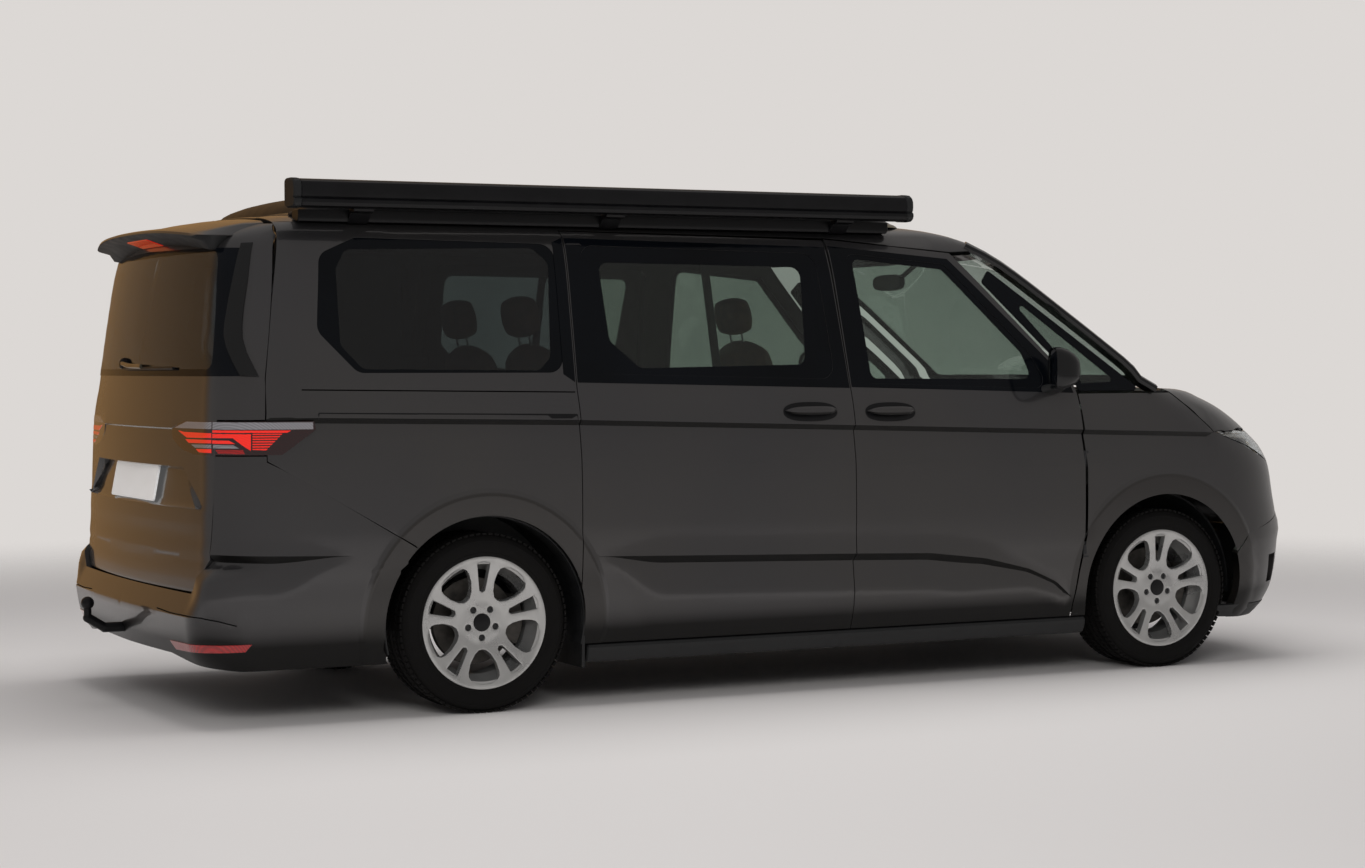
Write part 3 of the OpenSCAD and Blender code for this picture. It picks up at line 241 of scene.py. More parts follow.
tailBow, tailCorner, noseBow, noseCorner = 770.0, 330.0, 520.0, 720.0  # lengths along the outline, from its middle


def smoothRows(rows):
    # a curve through the rows that never overshoots between them
    rows = np.array(rows, float)
    z, v = rows[:, 0], rows[:, 1:]
    h = np.diff(z)[:, None]
    d = np.diff(v, axis=0) / h
    w1, w2 = 2 * h[1:] + h[:-1], h[1:] + 2 * h[:-1]
    same = d[:-1] * d[1:] > 1e-12
    safe0, safe1 = np.where(same, d[:-1], 1), np.where(same, d[1:], 1)
    slope = np.vstack([d[:1], np.where(same, (w1 + w2) / (w1 / safe0 + w2 / safe1), 0), d[-1:]])

    def at(q):
        q = np.clip(np.asarray(q, float), z[0], z[-1])
        i = np.clip(np.searchsorted(z, q, "right") - 1, 0, len(z) - 2)
        step = (z[i + 1] - z[i])[..., None]
        t = (q - z[i])[..., None] / step
        got = ((1 + 2 * t) * (1 - t) ** 2 * v[i] + t * (1 - t) ** 2 * step * slope[i]
               + t * t * (3 - 2 * t) * v[i + 1] + t * t * (t - 1) * step * slope[i + 1])
        return np.moveaxis(got, -1, 0)
    return at


bodyAt = smoothRows(bodyLevels)


def fade(low, high, value):
    t = np.clip((value - low) / (high - low), 0, 1)
    return t * t * (3 - 2 * t)


def halfWidth(x, z):
    w, xr, xf, br, bf, rx, ry, fx, fy = bodyAt(z)
    tail = np.clip((x - xr - br) / rx, 0, 1)
    nose = np.clip((xf - bf - x) / fx, 0, 1)
    y = w - ry * (1 - np.sqrt(1 - (1 - tail) ** 2)) - fy * (1 - np.sqrt(1 - (1 - nose) ** 2))
    y = np.where(x < xr + br, (w - ry) * np.sqrt(np.clip((x - xr) / br, 0, 1)) - np.maximum(xr - x, 0), y)
    return np.where(x > xf - bf, (w - fy) * np.sqrt(np.clip((xf - x) / bf, 0, 1)) - np.maximum(x - xf, 0), y)


# pressed lines along the side, as x and z
sideLines = {"upperX": (-2229, -1187, 27, 1116, 1819, 2000), "upperZ": (1115, 1094, 1057, 1023, 1001, 995),
             "lowerX": (-1120, -1029, 21, 374, 641, 860, 1000, 1074, 1100),
             "lowerZ": (574, 572, 544, 533, 502, 450, 390, 330, 300)}
flare = {"arch": 405, "crest": 484, "outer": 501, "lip": 1, "height": 7}  # round the wheel arches, by radius


def flareRelief(r):
    return np.interp(r, (flare["arch"], flare["crest"], flare["outer"]), (flare["lip"], flare["height"], 0))


def upperLine(x):
    return np.interp(x, sideLines["upperX"], sideLines["upperZ"])


def lowerLine(x):
    return np.interp(x, sideLines["lowerX"], sideLines["lowerZ"])


def lowerSize(x):
    # the lower line starts as a point, grows to full size and thins out along its curve
    return np.maximum(fade(-1118, -820, x) * (1 - 0.6 * fade(500, 1000, x)) * (1 - fade(1030, 1095, x)), 0.02)


def tailSize(x):
    return np.maximum(fade(-2080, -2400, x), 0.02)


def sideRelief(x, z):
    d = z - upperLine(x)
    out = np.interp(d, (-150, -60, -20, 0, 55, 110), (0, -8, -13, 5, 2, 0)) * (1 - fade(1780, 1830, x))
    d = z - lowerLine(x)
    size = lowerSize(x)
    out = out + np.interp(d / size, (-330, -150, -46, -34, -29, 0, 60), (0, 3, -20, -24, -23, 6, 0)) * size
    size = tailSize(x)
    tail = (z - np.interp(x, (-2600, -2127), (628, 613))) / size
    out = out + np.interp(tail, (-140, -46, -34, -28, 0, 50), (0, -18, -22, -21, 5, 0)) * size
    for wheelX in (-axleX, axleX):
        r = np.hypot(x - wheelX, z - axleZ)
        # the front flare dies out before the door, which swings past it
        reach = fade(1150, 1240, x) if wheelX > 0 else 1.0
        out = out + flareRelief(r) * reach
    return out


def sideSurface(uv):
    x, z = uv[:, 0], uv[:, 1]
    return np.stack([x, -halfWidth(x, z) - sideRelief(x, z), z], 1)


def plainSide(uv):
    return np.stack([uv[:, 0], -halfWidth(uv[:, 0], uv[:, 1]), uv[:, 1]], 1)


def outlinePoint(s, z, x, sign, w, bow, cornerX, cornerY, bowLength, cornerLength):
    a = np.abs(s)
    k = np.clip(a / bowLength, 0, 1)
    turn = np.clip((a - bowLength) / cornerLength, 0, 1) * math.pi / 2
    run = np.maximum(a - bowLength - cornerLength, 0)
    x = x + sign * bow * k * k + sign * cornerX * (1 - np.cos(turn)) + sign * run
    return np.stack([x, np.sign(s) * ((w - cornerY) * k + cornerY * np.sin(turn)), z], 1)


def tailPoint(s, z):
    w, xr, xf, br, bf, rx, ry, fx, fy = bodyAt(z)
    return outlinePoint(s, z, xr, 1, w, br, rx, ry, tailBow, tailCorner)


def nosePoint(s, z):
    w, xr, xf, br, bf, rx, ry, fx, fy = bodyAt(z)
    return outlinePoint(s, z, xf, -1, w, bf, fx, fy, noseBow, noseCorner)


def pushed(point, s, z, amount):
    # moves points straight out of the outline, level with the ground
    ahead, behind = point(s + 2, z), point(s - 2, z)
    run = ahead - behind
    flat = np.stack([run[:, 1], -run[:, 0]], 1)
    flat /= np.linalg.norm(flat, axis=1)[:, None]
    here = point(s, z)
    side = np.sign((flat * np.stack([here[:, 0] - np.clip(here[:, 0], -2000, 1500), here[:, 1]], 1)).sum(1))
    here[:, :2] += flat * (side * amount)[:, None]
    return here


def topZ(x, y, low, high):
    # height at which the body is as wide as y
    a, b = np.full(len(x), float(low)), np.full(len(x), float(high))
    for _ in range(34):
        m = (a + b) / 2
        inside = halfWidth(x, m) > np.abs(y)
        a, b = np.where(inside, m, a), np.where(inside, b, m)
    return (a + b) / 2


def inside2d(points, loop):
    hit = np.zeros(len(points), bool)
    x, y = points[:, 0], points[:, 1]
    for (ax, ay), (bx, by) in zip(loop, np.roll(loop, -1, 0)):
        if ay != by:
            hit ^= ((ay > y) != (by > y)) & (x < (bx - ax) * (y - ay) / (by - ay) + ax)
    return hit


def roundCorners(points, radius, steps=6):
    points = np.array(points, float)
    if radius <= 0:
        return points
    made = []
    for i, p in enumerate(points):
        a, b = points[i - 1] - p, points[(i + 1) % len(points)] - p
        la, lb = np.linalg.norm(a), np.linalg.norm(b)
        a, b = a / la, b / lb
        half = math.acos(np.clip(a @ b, -1, 1)) / 2
        if half > math.radians(86):
            made.append(p)
            continue
        cut = min(radius / math.tan(half), 0.46 * la, 0.46 * lb)
        r = cut * math.tan(half)
        centre = p + (a + b) / np.linalg.norm(a + b) * (r / math.sin(half))
        start, end = p + a * cut - centre, p + b * cut - centre
        sweep = math.atan2(start[0] * end[1] - start[1] * end[0], start @ end)
        for k in range(steps + 1):
            t = sweep * k / steps
            made.append(centre + [start[0] * math.cos(t) - start[1] * math.sin(t),
                                  start[0] * math.sin(t) + start[1] * math.cos(t)])
    return np.array(made)


def densify(points, step, closed=True):
    points = np.array(points, float)
    ends = np.roll(points, -1, 0) if closed else points[1:]
    made = []
    for a, b in zip(points, ends):
        n = max(1, int(math.ceil(np.linalg.norm(b - a) / step)))
        made += [a + (b - a) * k / n for k in range(n)]
    if not closed:
        made.append(points[-1])
    return np.array(made)


def ringLoop(x, z, r, count=96):
    t = np.arange(count) * 2 * math.pi / count
    return np.stack([x + r * np.cos(t), z + r * np.sin(t)], 1)


def outward(surface, uv, depth):
    e = 1.5
    du = surface(uv + [e, 0]) - surface(uv - [e, 0])
    dv = surface(uv + [0, e]) - surface(uv - [0, e])
    n = np.cross(du, dv)
    n /= np.maximum(np.linalg.norm(n, axis=1), 1e-9)[:, None]
    p = surface(uv)
    heart = np.stack([np.clip(p[:, 0], -2200, 1500), 0 * p[:, 1], np.full(len(p), 800.0)], 1)
    n *= np.where(((p - heart) * n).sum(1) < 0, -1, 1)[:, None]
    return p - n * np.asarray(depth)[:, None]


def panelMesh(surface, outline, cuts=(), lines=(), depth=46.0, step=26.0, rim=1.6, sink=0.0):
    # a closed panel: skin in smooth triangles, small rolled edge, side walls and inner face
    loops = [densify(outline, step)] + [densify(c, step) for c in cuts]
    chains = [densify(c, step, False) for c in lines]
    coords, edges = [], []
    for chain, closed in [(c, True) for c in loops] + [(c, False) for c in chains]:
        first = len(coords)
        coords += list(chain)
        edges += [(first + i, first + i + 1) for i in range(len(chain) - 1)]
        if closed:
            edges.append((len(coords) - 1, first))
    low, high = loops[0].min(0), loops[0].max(0)
    xs = np.arange(low[0] + step / 2, high[0], step)
    zs = np.arange(low[1] + step / 2, high[1], step * 0.87)
    grid = np.array([(x + (step / 2 if j % 2 else 0), z) for j, z in enumerate(zs) for x in xs])
    if len(grid):
        keep = inside2d(grid, loops[0])
        for c in loops[1:]:
            keep &= ~inside2d(grid, c)
        grid = grid[keep]
        ends = np.array([(coords[a], coords[b]) for a, b in edges])
        a, b = ends[:, 0], ends[:, 1]
        span = b - a
        length = np.maximum((span ** 2).sum(1), 1e-9)
        far = np.ones(len(grid), bool)
        for i in range(0, len(grid), 400):
            g = grid[i:i + 400]
            t = np.clip(((g[:, None] - a) * span).sum(2) / length, 0, 1)
            far[i:i + 400] = (np.linalg.norm(g[:, None] - a - t[..., None] * span, axis=2)).min(1) > step * 0.42
        coords += list(grid[far])
    verts, _, faces, _, _, _ = delaunay_2d_cdt([Vector(c) for c in coords], edges, [], 0, 1e-4)
    flat = np.array([(v.x, v.y) for v in verts])
    tris = np.array([f for f in faces if len(f) == 3])
    middle = flat[tris].mean(1)
    keep = inside2d(middle, loops[0])
    for c in loops[1:]:
        keep &= ~inside2d(middle, c)
    tris = tris[keep]
    p, q, r = flat[tris[:, 0]], flat[tris[:, 1]], flat[tris[:, 2]]
    area = (q[:, 0] - p[:, 0]) * (r[:, 1] - p[:, 1]) - (q[:, 1] - p[:, 1]) * (r[:, 0] - p[:, 0])
    tris[area < 0] = tris[area < 0][:, ::-1]
    tris = tris[np.abs(area) > 1e-6]
    used, tris = np.unique(tris, return_inverse=True)
    tris = tris.reshape(-1, 3)
    flat = flat[used]
    n = len(flat)
    directed = {}
    for t in tris:
        for i in range(3):
            directed[(t[i], t[(i + 1) % 3])] = 1
    border = [e for e in directed if (e[1], e[0]) not in directed]
    lean = np.zeros((n, 2))
    count = np.zeros(n)
    for a, b in border:
        d = flat[b] - flat[a]
        d = np.array([d[1], -d[0]]) / max(np.linalg.norm(d), 1e-9)
        lean[a] += d
        lean[b] += d
        count[a] += 1
        count[b] += 1
    edge = np.nonzero(count)[0]
    size = np.maximum(np.linalg.norm(lean[edge], axis=1), 1e-6)
    lean[edge] = lean[edge] / size[:, None] * np.minimum(2.0 / size, 1.6)[:, None]
    slot = {v: i for i, v in enumerate(edge)}
    m = len(edge)
    rows = [(0.0, 0.0), (0.72 * rim, 0.28 * rim), (rim, rim), (rim, depth)]
    points = [outward(surface, flat, np.full(n, sink))]
    for off, down in rows[1:]:
        points.append(outward(surface, flat[edge] + lean[edge] * off, np.full(m, sink + down)))
    points.append(outward(surface, flat, np.full(n, sink + depth)))
    made = [tuple(t) for t in tris]
    start = [None, n, n + m, n + 2 * m]
    inner = n + 3 * m

    def ringOf(k, v):
        return v if k == 0 else start[k] + slot[v]

    for a, b in border:
        for k in range(3):
            made.append((ringOf(k, b), ringOf(k, a), ringOf(k + 1, a), ringOf(k + 1, b)))
        made.append((ringOf(3, b), ringOf(3, a), inner + a, inner + b))
    made += [tuple(inner + v for v in t[::-1]) for t in tris]
    return np.vstack(points), made


def makeObject(name, points, faces, material, body, replaced=(), slot=None, sharp=32, mirrored=False, materials=()):
    points = np.array(points, float) * 0.001
    if mirrored:
        points[:, 1] *= -1
    points[:, 0] += midX
    mesh = bpy.data.meshes.new(name)
    mesh.from_pydata([tuple(p) for p in points], [], [tuple(int(i) for i in f) for f in faces])
    return finishObject(name, mesh, material, body, replaced, sharp, materials)


def finishObject(name, mesh, material, body, replaced=(), sharp=32, materials=()):
    work = bmesh.new()
    work.from_mesh(mesh)
    bmesh.ops.remove_doubles(work, verts=work.verts, dist=1e-6)
    bmesh.ops.recalc_face_normals(work, faces=work.faces)
    work.to_mesh(mesh)
    work.free()
    made = bpy.data.objects.new(name, mesh)
    bpy.context.scene.collection.objects.link(made)
    for m in [material, *materials]:
        mesh.materials.append(m)
    mesh.polygons.foreach_set("use_smooth", [True] * len(mesh.polygons))
    mesh.set_sharp_from_angle(angle=math.radians(sharp))
    weigh = made.modifiers.new("evenShading", "WEIGHTED_NORMAL")
    weigh.keep_sharp, weigh.weight = True, 90
    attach(made, body)
    if replaced:
        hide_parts(*replaced)
    return made


def bothSides(name, shape, material, bodyOf, nodeOf=None, slot=None, sharp=32):
    points, faces = shape
    for side in ("right", "left"):
        body = bodyOf.format(side)
        nodes = [n.format(side) for n in (nodeOf or [])]
        makeObject(name + side.capitalize(), points, faces, material, body, nodes, slot, sharp, side == "left")


def panel(name, surface, outline, material, body, slot, nodes=(), **shape):
    return makeObject(name, *panelMesh(surface, outline, **shape), material, body, nodes, slot)


def sidePanel(name, outline, material, body, slot, nodeOf=None, surface=sideSurface, **shape):
    bothSides(name, panelMesh(surface, outline, **shape), material, body, nodeOf, slot)


mirrorSides = ((1, "Left"), (-1, "Right"))


def acrossPair(name, surface, loop, material, body, slot, nodeRight=None, **shape):
    # one outline of the tail or nose on the left, and turned over on the right
    for sign, side in mirrorSides:
        nodes = [nodeRight] if nodeRight and side == "Right" else ()
        panel(name + side, surface, np.array(loop, float) * [sign, 1], material, body, slot, nodes, **shape)


# side panels
sideOutlines = {
    "frontDoor": [(28, 240), (28, 1190), (8, 1806), (586, 1757), (1101, 1226), (1116, 1165), (1125, 1046), (1136, 860),
                  (1136, 587), (1110, 430), (1092, 300), (1090, 240)],
    "frontWindow": [(98, 1222), (78, 1752), (548, 1712), (905, 1345), (985, 1195)],
    "slidingDoor": [(-1175, 240), (-1175, 1230), (-1158, 1818), (-5, 1801), (22, 1190), (22, 240)],
    "slidingWindow": [(-1120, 1268), (-1102, 1765), (-62, 1748), (-40, 1240)],
    "quarter": [(-1181, 240), (-1181, 1230), (-1164, 1823), (-2296, 1834), (-2352, 1542), (-2398, 1260), (-2410, 1112),
                (-2410, 962), (-1851, 640), (-1500, 200)],
    "quarterWindow": [(-1225, 1272), (-1208, 1768), (-2010, 1780), (-2160, 1715), (-2195, 1430), (-2050, 1275)],
    "quarterLight": [(720, 1640), (760, 1690), (1425, 1205), (1425, 1185), (1130, 1185), (1112, 1240)],
    "wing": [(1098, 240), (1100, 300), (1120, 430), (1151, 587), (1151, 860), (1136, 1046), (1124, 1160), (1124, 1172),
             (1617, 1172), (1815, 1000), (1829, 999), (2198, 866), (2300, 866), (2300, 640), (2000, 560), (1750, 240)],
    "tailLamp": [(-2235, 1104), (-2229, 1073), (-2359, 984), (-2700, 984), (-2700, 1104)],
}
windowRound = {"frontWindow": 40, "slidingWindow": 60, "quarterWindow": 60, "quarterLight": 12}
archLoops = [ringLoop(x, axleZ, flare["arch"]) for x in (-axleX, axleX)]
flareRadii = (509, 501, 484, 476)  # the flare's outer edge and crest, each with a loop 8 mm beside it


def windowLoop(name):
    return roundCorners(sideOutlines[name], windowRound[name])


def lineAlong(curve, x0, x1, shift, step=40, size=None):
    xs = np.arange(x0, x1 + 1, step)
    return np.stack([xs, curve(xs) + shift * (1 if size is None else size(xs))], 1)


def closedLine(loop):
    return np.vstack([loop, loop[:1]])


pressings = [lineAlong(upperLine, -2300, 1790, d) for d in (55, 0, -20, -60, -150)]
pressings += [lineAlong(lowerLine, -1110, 1090, d, 20, lowerSize) for d in (0, -29, -46)]
pressings += [closedLine(ringLoop(x, axleZ, r, 150)) for x in (-axleX, axleX) for r in flareRadii]
quarterSeam = {"x": (-2272, -1186), "z": (1213, 1196), "gap": 7, "backLow": -10, "backHigh": 17}
railSlot = {"x": (-2218, -1190), "top": (1133, 1116), "low": (1109, 1091)}


def stripLoop(xs, lows, highs):
    return np.array([(xs[0], lows[0]), (xs[1], lows[1]), (xs[1], highs[1]), (xs[0], highs[0])], float)


def seamStrip(low, high):
    return stripLoop(quarterSeam["x"], [z + low for z in quarterSeam["z"]], [z + high for z in quarterSeam["z"]])


railLoop = stripLoop(railSlot["x"], railSlot["low"], railSlot["top"])
sidePanel("slidingDoorPanel", sideOutlines["slidingDoor"], paint, "body", "body_paint", ["sliding_door_{}"],
          cuts=[windowLoop("slidingWindow"), archLoops[0]], lines=pressings)
sidePanel("frontDoorPanel", sideOutlines["frontDoor"], paint, "front_door_{}_body", "body_paint", ["front_door_{}"],
          cuts=[windowLoop("frontWindow")], lines=pressings, depth=24)
sidePanel("quarterPanel", sideOutlines["quarter"], paint, "body", "body_paint", ["side_panel_{}"], lines=pressings,
          cuts=[windowLoop("quarterWindow"), archLoops[0], sideOutlines["tailLamp"], seamStrip(0, quarterSeam["gap"])])
# the sliding door's rail slot, as a black strip just proud of the skin: painted shade in place of the open groove
sidePanel("doorRail", roundCorners(railLoop, 5), satinBlack, "body", "black_plastic", depth=10, step=24, rim=1.0, sink=-0.8)
# the wing is thin, so that the door's edge swings clear of it
sidePanel("frontWingPanel", sideOutlines["wing"], paint, "body", "body_paint", ["front_wing_{}"],
          cuts=[archLoops[1]], lines=pressings, depth=1.8, rim=0.8)
print("side panels ready")

# side glass
glassFit = {"clearance": 1.0, "thickness": 5.0, "sink": 2.0, "paneGap": 0.4, "paneSink": 0.3}


def shrink(points, amount):
    # sets a rounded outline in by an amount, along the corner bisectors
    points = np.array(points, float)
    made = []
    turn = sum(a[0] * b[1] - a[1] * b[0] for a, b in zip(points, np.roll(points, -1, 0)))
    for i, p in enumerate(points):
        a, b = p - points[i - 1], points[(i + 1) % len(points)] - p
        a, b = a / max(np.linalg.norm(a), 1e-9), b / max(np.linalg.norm(b), 1e-9)
        n = np.array([-a[1] - b[1], a[0] + b[0]]) * (1 if turn > 0 else -1)
        size = np.linalg.norm(n)
        made.append(p + n / size * amount * min(2 / size, 2) if size > 1e-6 else p)
    return np.array(made)


sideGlass = {
    "quarter": {"outline": "quarterWindow", "clearRound": 45, "body": "body", "glass": privacyGlass,
                "clear": [(-1274, 1330), (-1240, 1696), (-1300, 1752), (-2054, 1735), (-2100, 1660), (-2108, 1379),
                          (-2030, 1290), (-1325, 1282)]},
    "sliding": {"outline": "slidingWindow", "clearRound": 40, "body": "body", "glass": tintedGlass,
                "clear": [(-1020, 1395), (-1032, 1700), (-136, 1692), (-168, 1300), (-900, 1288)]},
    "frontDoor": {"outline": "frontWindow", "clearRound": 30, "body": "front_door_{}_body", "glass": clearGlass,
                  "clear": [(128, 1242), (108, 1730), (532, 1692), (868, 1345), (905, 1235)]},
    "light": {"outline": "quarterLight", "clearRound": 14, "body": "body", "glass": clearGlass,
              "clear": [(800, 1625), (1330, 1222), (1150, 1216), (1132, 1250)]},
}
for key, pane in sideGlass.items():
    edge = shrink(windowLoop(pane["outline"]), glassFit["clearance"])
    clear = roundCorners(pane["clear"], pane["clearRound"])
    nodes = ["front_door_window_{}"] if key == "frontDoor" else None
    sidePanel(key + "Frit", edge, enamelFrit, pane["body"], "tinted_glass", nodes, plainSide, cuts=[clear],
              depth=glassFit["thickness"], step=40, rim=1.0, sink=glassFit["sink"])
    sidePanel(key + "Pane", shrink(clear, glassFit["paneGap"]), pane["glass"], pane["body"], "tinted_glass", None, plainSide,
              depth=glassFit["thickness"] - 1, step=40, rim=0.3, sink=glassFit["sink"] + glassFit["paneSink"])
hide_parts("side_windows")

# black skin on the pillars and window frames, flush with the glass
pillarSkins = {
    "slidingBand": {"outline": [(-1172, 1236), (-1156, 1790), (-8, 1773), (19, 1206)], "cut": "slidingWindow", "body": "body"},
    "frontDoorBand": {"outline": [(31, 1209), (12, 1778), (568, 1733), (1086, 1222), (1098, 1177)], "cut": "frontWindow",
                      "body": "front_door_{}_body"},
    "quarterBand": {"outline": [(-1184, 1238), (-1168, 1790), (-1212, 1772), (-1228, 1268)], "cut": None, "body": "body"},
}
for key, skin in pillarSkins.items():
    sidePanel(key, skin["outline"], enamelFrit, skin["body"], "black_plastic", None, plainSide,
              cuts=[windowLoop(skin["cut"])] if skin["cut"] else [], depth=6, step=40, rim=0.8, sink=-1.2)
print("side glass ready")


# tail
def bisect(make, target, low, high):
    for _ in range(44):
        m = (low + high) / 2
        if make(m) < target:
            low = m
        else:
            high = m
    return (low + high) / 2


def onOutline(point, axis, target, z, reach, sign=1):
    # where an outline comes to a given x or y: its length from the middle, and the height
    return bisect(lambda s: sign * float(point(np.array([s]), np.array([float(z)]))[0, axis]), sign * target, 0.0, reach), z


def tailY(y, z):
    return onOutline(tailPoint, 1, y, z, tailBow + tailCorner)


def tailX(x, z):
    return onOutline(tailPoint, 0, x, z, 6000.0)


def mirrorLoop(half):
    # half an outline from the bottom middle round to the top middle, made whole
    half = [tuple(p) for p in half]
    return np.array(half + [(-s, z) for s, z in reversed(half) if abs(s) > 1e-6], float)


def withMirror(loop):
    return [loop, loop * [-1, 1]]


plateRecess = {"top": (600, 935), "bottom": (800, 786), "deepTop": 38, "deepBottom": 13, "wall": 13}
gateShape = {"step": 592, "crease": 1076, "fold": 618, "foldRise": 14, "foldHalf": 845}  # below step it stays upright


def recessDepth(z):
    return np.interp(z, (plateRecess["bottom"][1], plateRecess["top"][1]), (plateRecess["deepBottom"], plateRecess["deepTop"]))


def recessInset(y, z):
    (yt, zt), (yb, zb) = plateRecess["top"], plateRecess["bottom"]
    slant = np.hypot(yb - yt, zt - zb)
    edge = ((yb - np.abs(y)) * (zt - zb) - (z - zb) * (yb - yt)) / slant
    return np.minimum(np.minimum(zt - z, z - zb), edge)


def gateRelief(p):
    y, z = np.abs(p[:, 1]), p[:, 2]
    fold = gateShape["fold"] + gateShape["foldRise"] * y / gateShape["foldHalf"]
    out = np.interp(z - gateShape["crease"], (-70, -5, 0, 70), (0, -3, 2.5, 0)) * fade(560, 470, y)
    out += np.interp(z - fold, (-80, -26, 0, 60), (0, -3, 2, 0))
    out += np.interp(z, (680, 740, 784, 800), (0, 5, 5, 0)) * fade(900, 700, y)
    return out - recessDepth(z) * np.clip(recessInset(y, z) / plateRecess["wall"], 0, 1)


def gateSurface(uv):
    z = np.maximum(uv[:, 1], gateShape["step"])
    p = tailPoint(uv[:, 0], z)
    p[:, 2] = uv[:, 1]
    p = pushed(tailPoint, uv[:, 0], z, gateRelief(p))
    p[:, 2] = uv[:, 1]
    return p


def plainTail(uv):
    return tailPoint(uv[:, 0], uv[:, 1])


gateEdge = [(0, 486), (tailY(755, gateShape["step"])[0], 486), tailY(845, 606), tailY(845, 1112), tailX(-2417, 1112),
            tailX(-2404, 1260), tailX(-2358, 1542), tailX(-2312, 1780), tailX(-2306, 1826), (0, 1826)]
rearWindow = roundCorners(mirrorLoop([(0, 1292), (836, 1292), (846, 1500), (842, 1722), (0, 1722)]), 40)
lampGateLoop = np.array([(tailY(845, 984)[0], 982), (tailY(845, 1104)[0], 1106), (632, 1106), (558, 1095), (490, 1074),
                         (498, 1038), (560, 1010), (623, 993), (711, 983)])
recessTop, recessLow = tailY(*plateRecess["top"]), tailY(*plateRecess["bottom"])
recessLoop = np.array([recessTop, recessLow, (-recessLow[0], recessLow[1]), (-recessTop[0], recessTop[1])])
gateLines = [np.array([(-560, z), (560, z)]) for z in (1076, 1071)]
gateLines += [np.vstack([densify(loop, 60), loop[:1]]) for loop in (recessLoop, shrink(recessLoop, plateRecess["wall"]))]
gateLines += [np.array([(-900, z + 14), (0, z), (900, z + 14)]) for z in (618, 592)]
gateLines += [np.array([(-880, z), (880, z)]) for z in (740, 784)]
panel("tailgatePanel", gateSurface, mirrorLoop(gateEdge), gatePaint, "tailgate_body", "body_paint", ["tailgate"],
      cuts=[rearWindow] + withMirror(lampGateLoop), lines=gateLines, depth=30)

# bonded rear glass, wider than its opening, and upright black blades beside it
bladeInner = [(962, 1744), (961, 1732), (942, 1652), (917, 1543), (901, 1452), (899, 1416), (910, 1372), (935, 1318), (960, 1271)]
bladeOuter = [(1013, 1269), (978, 1350), (963, 1405), (963, 1452), (970, 1517), (988, 1615), (1007, 1740), (1008, 1746)]
rearGlass = mirrorLoop([(0, 1268), (958, 1268)] + [(s + 6, z) for s, z in reversed(bladeInner[1:-1])] + [(0, 1745)])
panel("rearFrit", plainTail, rearGlass, enamelFrit, "tailgate_body", "tinted_glass", ["rear_window"], cuts=[rearWindow],
      depth=6, step=40, rim=1, sink=-2.5)
panel("rearPane", plainTail, shrink(rearWindow, glassFit["paneGap"]), privacyGlass, "tailgate_body", "tinted_glass",
      depth=5, step=40, rim=0.3, sink=-2.3)
acrossPair("rearBlade", plainTail, bladeInner + bladeOuter, pianoBlack, "tailgate_body", "black_plastic",
           depth=14, step=20, rim=4, sink=-11)

# tail lamps: a dark shell, a pale strip on top, a lit red wedge and fine dark louvres
bodyLampLoop = [tailY(851.5, 1104), tailY(851.5, 984), tailX(-2359, 984), tailX(-2229, 1073), tailX(-2235, 1104)]
lampShells = {"bodyLampShell": {"loop": bodyLampLoop, "body": "body", "node": "tail_lamps"},
              "gateLampShell": {"loop": lampGateLoop, "body": "tailgate_body", "node": "tailgate_lamps"}}
lampInserts = {
    "bodyLampStrip": (paleLens, "body", [(853, 1102), (1204, 1099), (1205, 1075), (853, 1077)]),
    "bodyLampLine": (litLens, "body", [(853, 1073), (1122, 1071), (1108, 1064), (853, 1065)]),
    "bodyLampBand": (litLens, "body", [(853, 1060), (995, 1059), (995, 1001), (980, 1011), (936, 1046), (853, 1046)]),
    "bodyLampLower": (litLens, "body", [(853, 1037), (922, 1036), (944, 1025), (853, 1026)]),
    "bodyLampGrey": (paleLens, "body", [(857, 1021), (938, 1020), (957, 1009), (857, 1009)]),
    "bodyLampGlow": (redLens, "body", [(868, 1003), (970, 1003), (976, 988), (880, 990)]),
    "bodyLampWedge": (litLens, "body", [(1001, 1060), (1091, 1060), (1042, 1002), (1001, 1004)]),
    "gateLampStrip": (paleLens, "tailgate_body", [(520, 1077), (634, 1101), (846, 1102), (846, 1078)]),
    "gateLampBand": (litLens, "tailgate_body", [(556, 1068), (612, 1063), (846, 1062), (846, 1046), (640, 1044)]),
    "gateLampLower": (litLens, "tailgate_body", [(628, 1037), (846, 1038), (846, 1027), (660, 1025)]),
    "gateLampGrey": (paleLens, "tailgate_body", [(684, 1019), (846, 1021), (846, 1009), (717, 1009)]),
    "gateLampGlow": (litLens, "tailgate_body", [(726, 1003), (846, 1005), (846, 992), (752, 993)]),
}
louvres = {"count": 6, "topZ": 1056, "pitch": 9, "x": (1000, 1090, 1087), "taper": 7.8, "height": 3}
for key, lamp in lampShells.items():
    acrossPair(key, plainTail, shrink(lamp["loop"], 0.6), darkLens, lamp["body"], "red_lens", lamp["node"],
               depth=38, step=24, rim=0.6)
for key, (material, body, loop) in lampInserts.items():
    acrossPair(key, plainTail, loop, material, body, "red_lens", depth=3, step=24, rim=0.6, sink=-1.0)
for k in range(louvres["count"]):
    z, (start, upper, lower), cut = louvres["topZ"] - louvres["pitch"] * k, louvres["x"], louvres["taper"] * k
    low = z - louvres["height"]
    acrossPair("bodyLampLouvre%d" % k, plainTail, [(start, z), (upper - cut, z), (lower - cut, low), (start, low)], darkLens,
               "body", "red_lens", depth=3, step=24, rim=0.6, sink=-2.0)


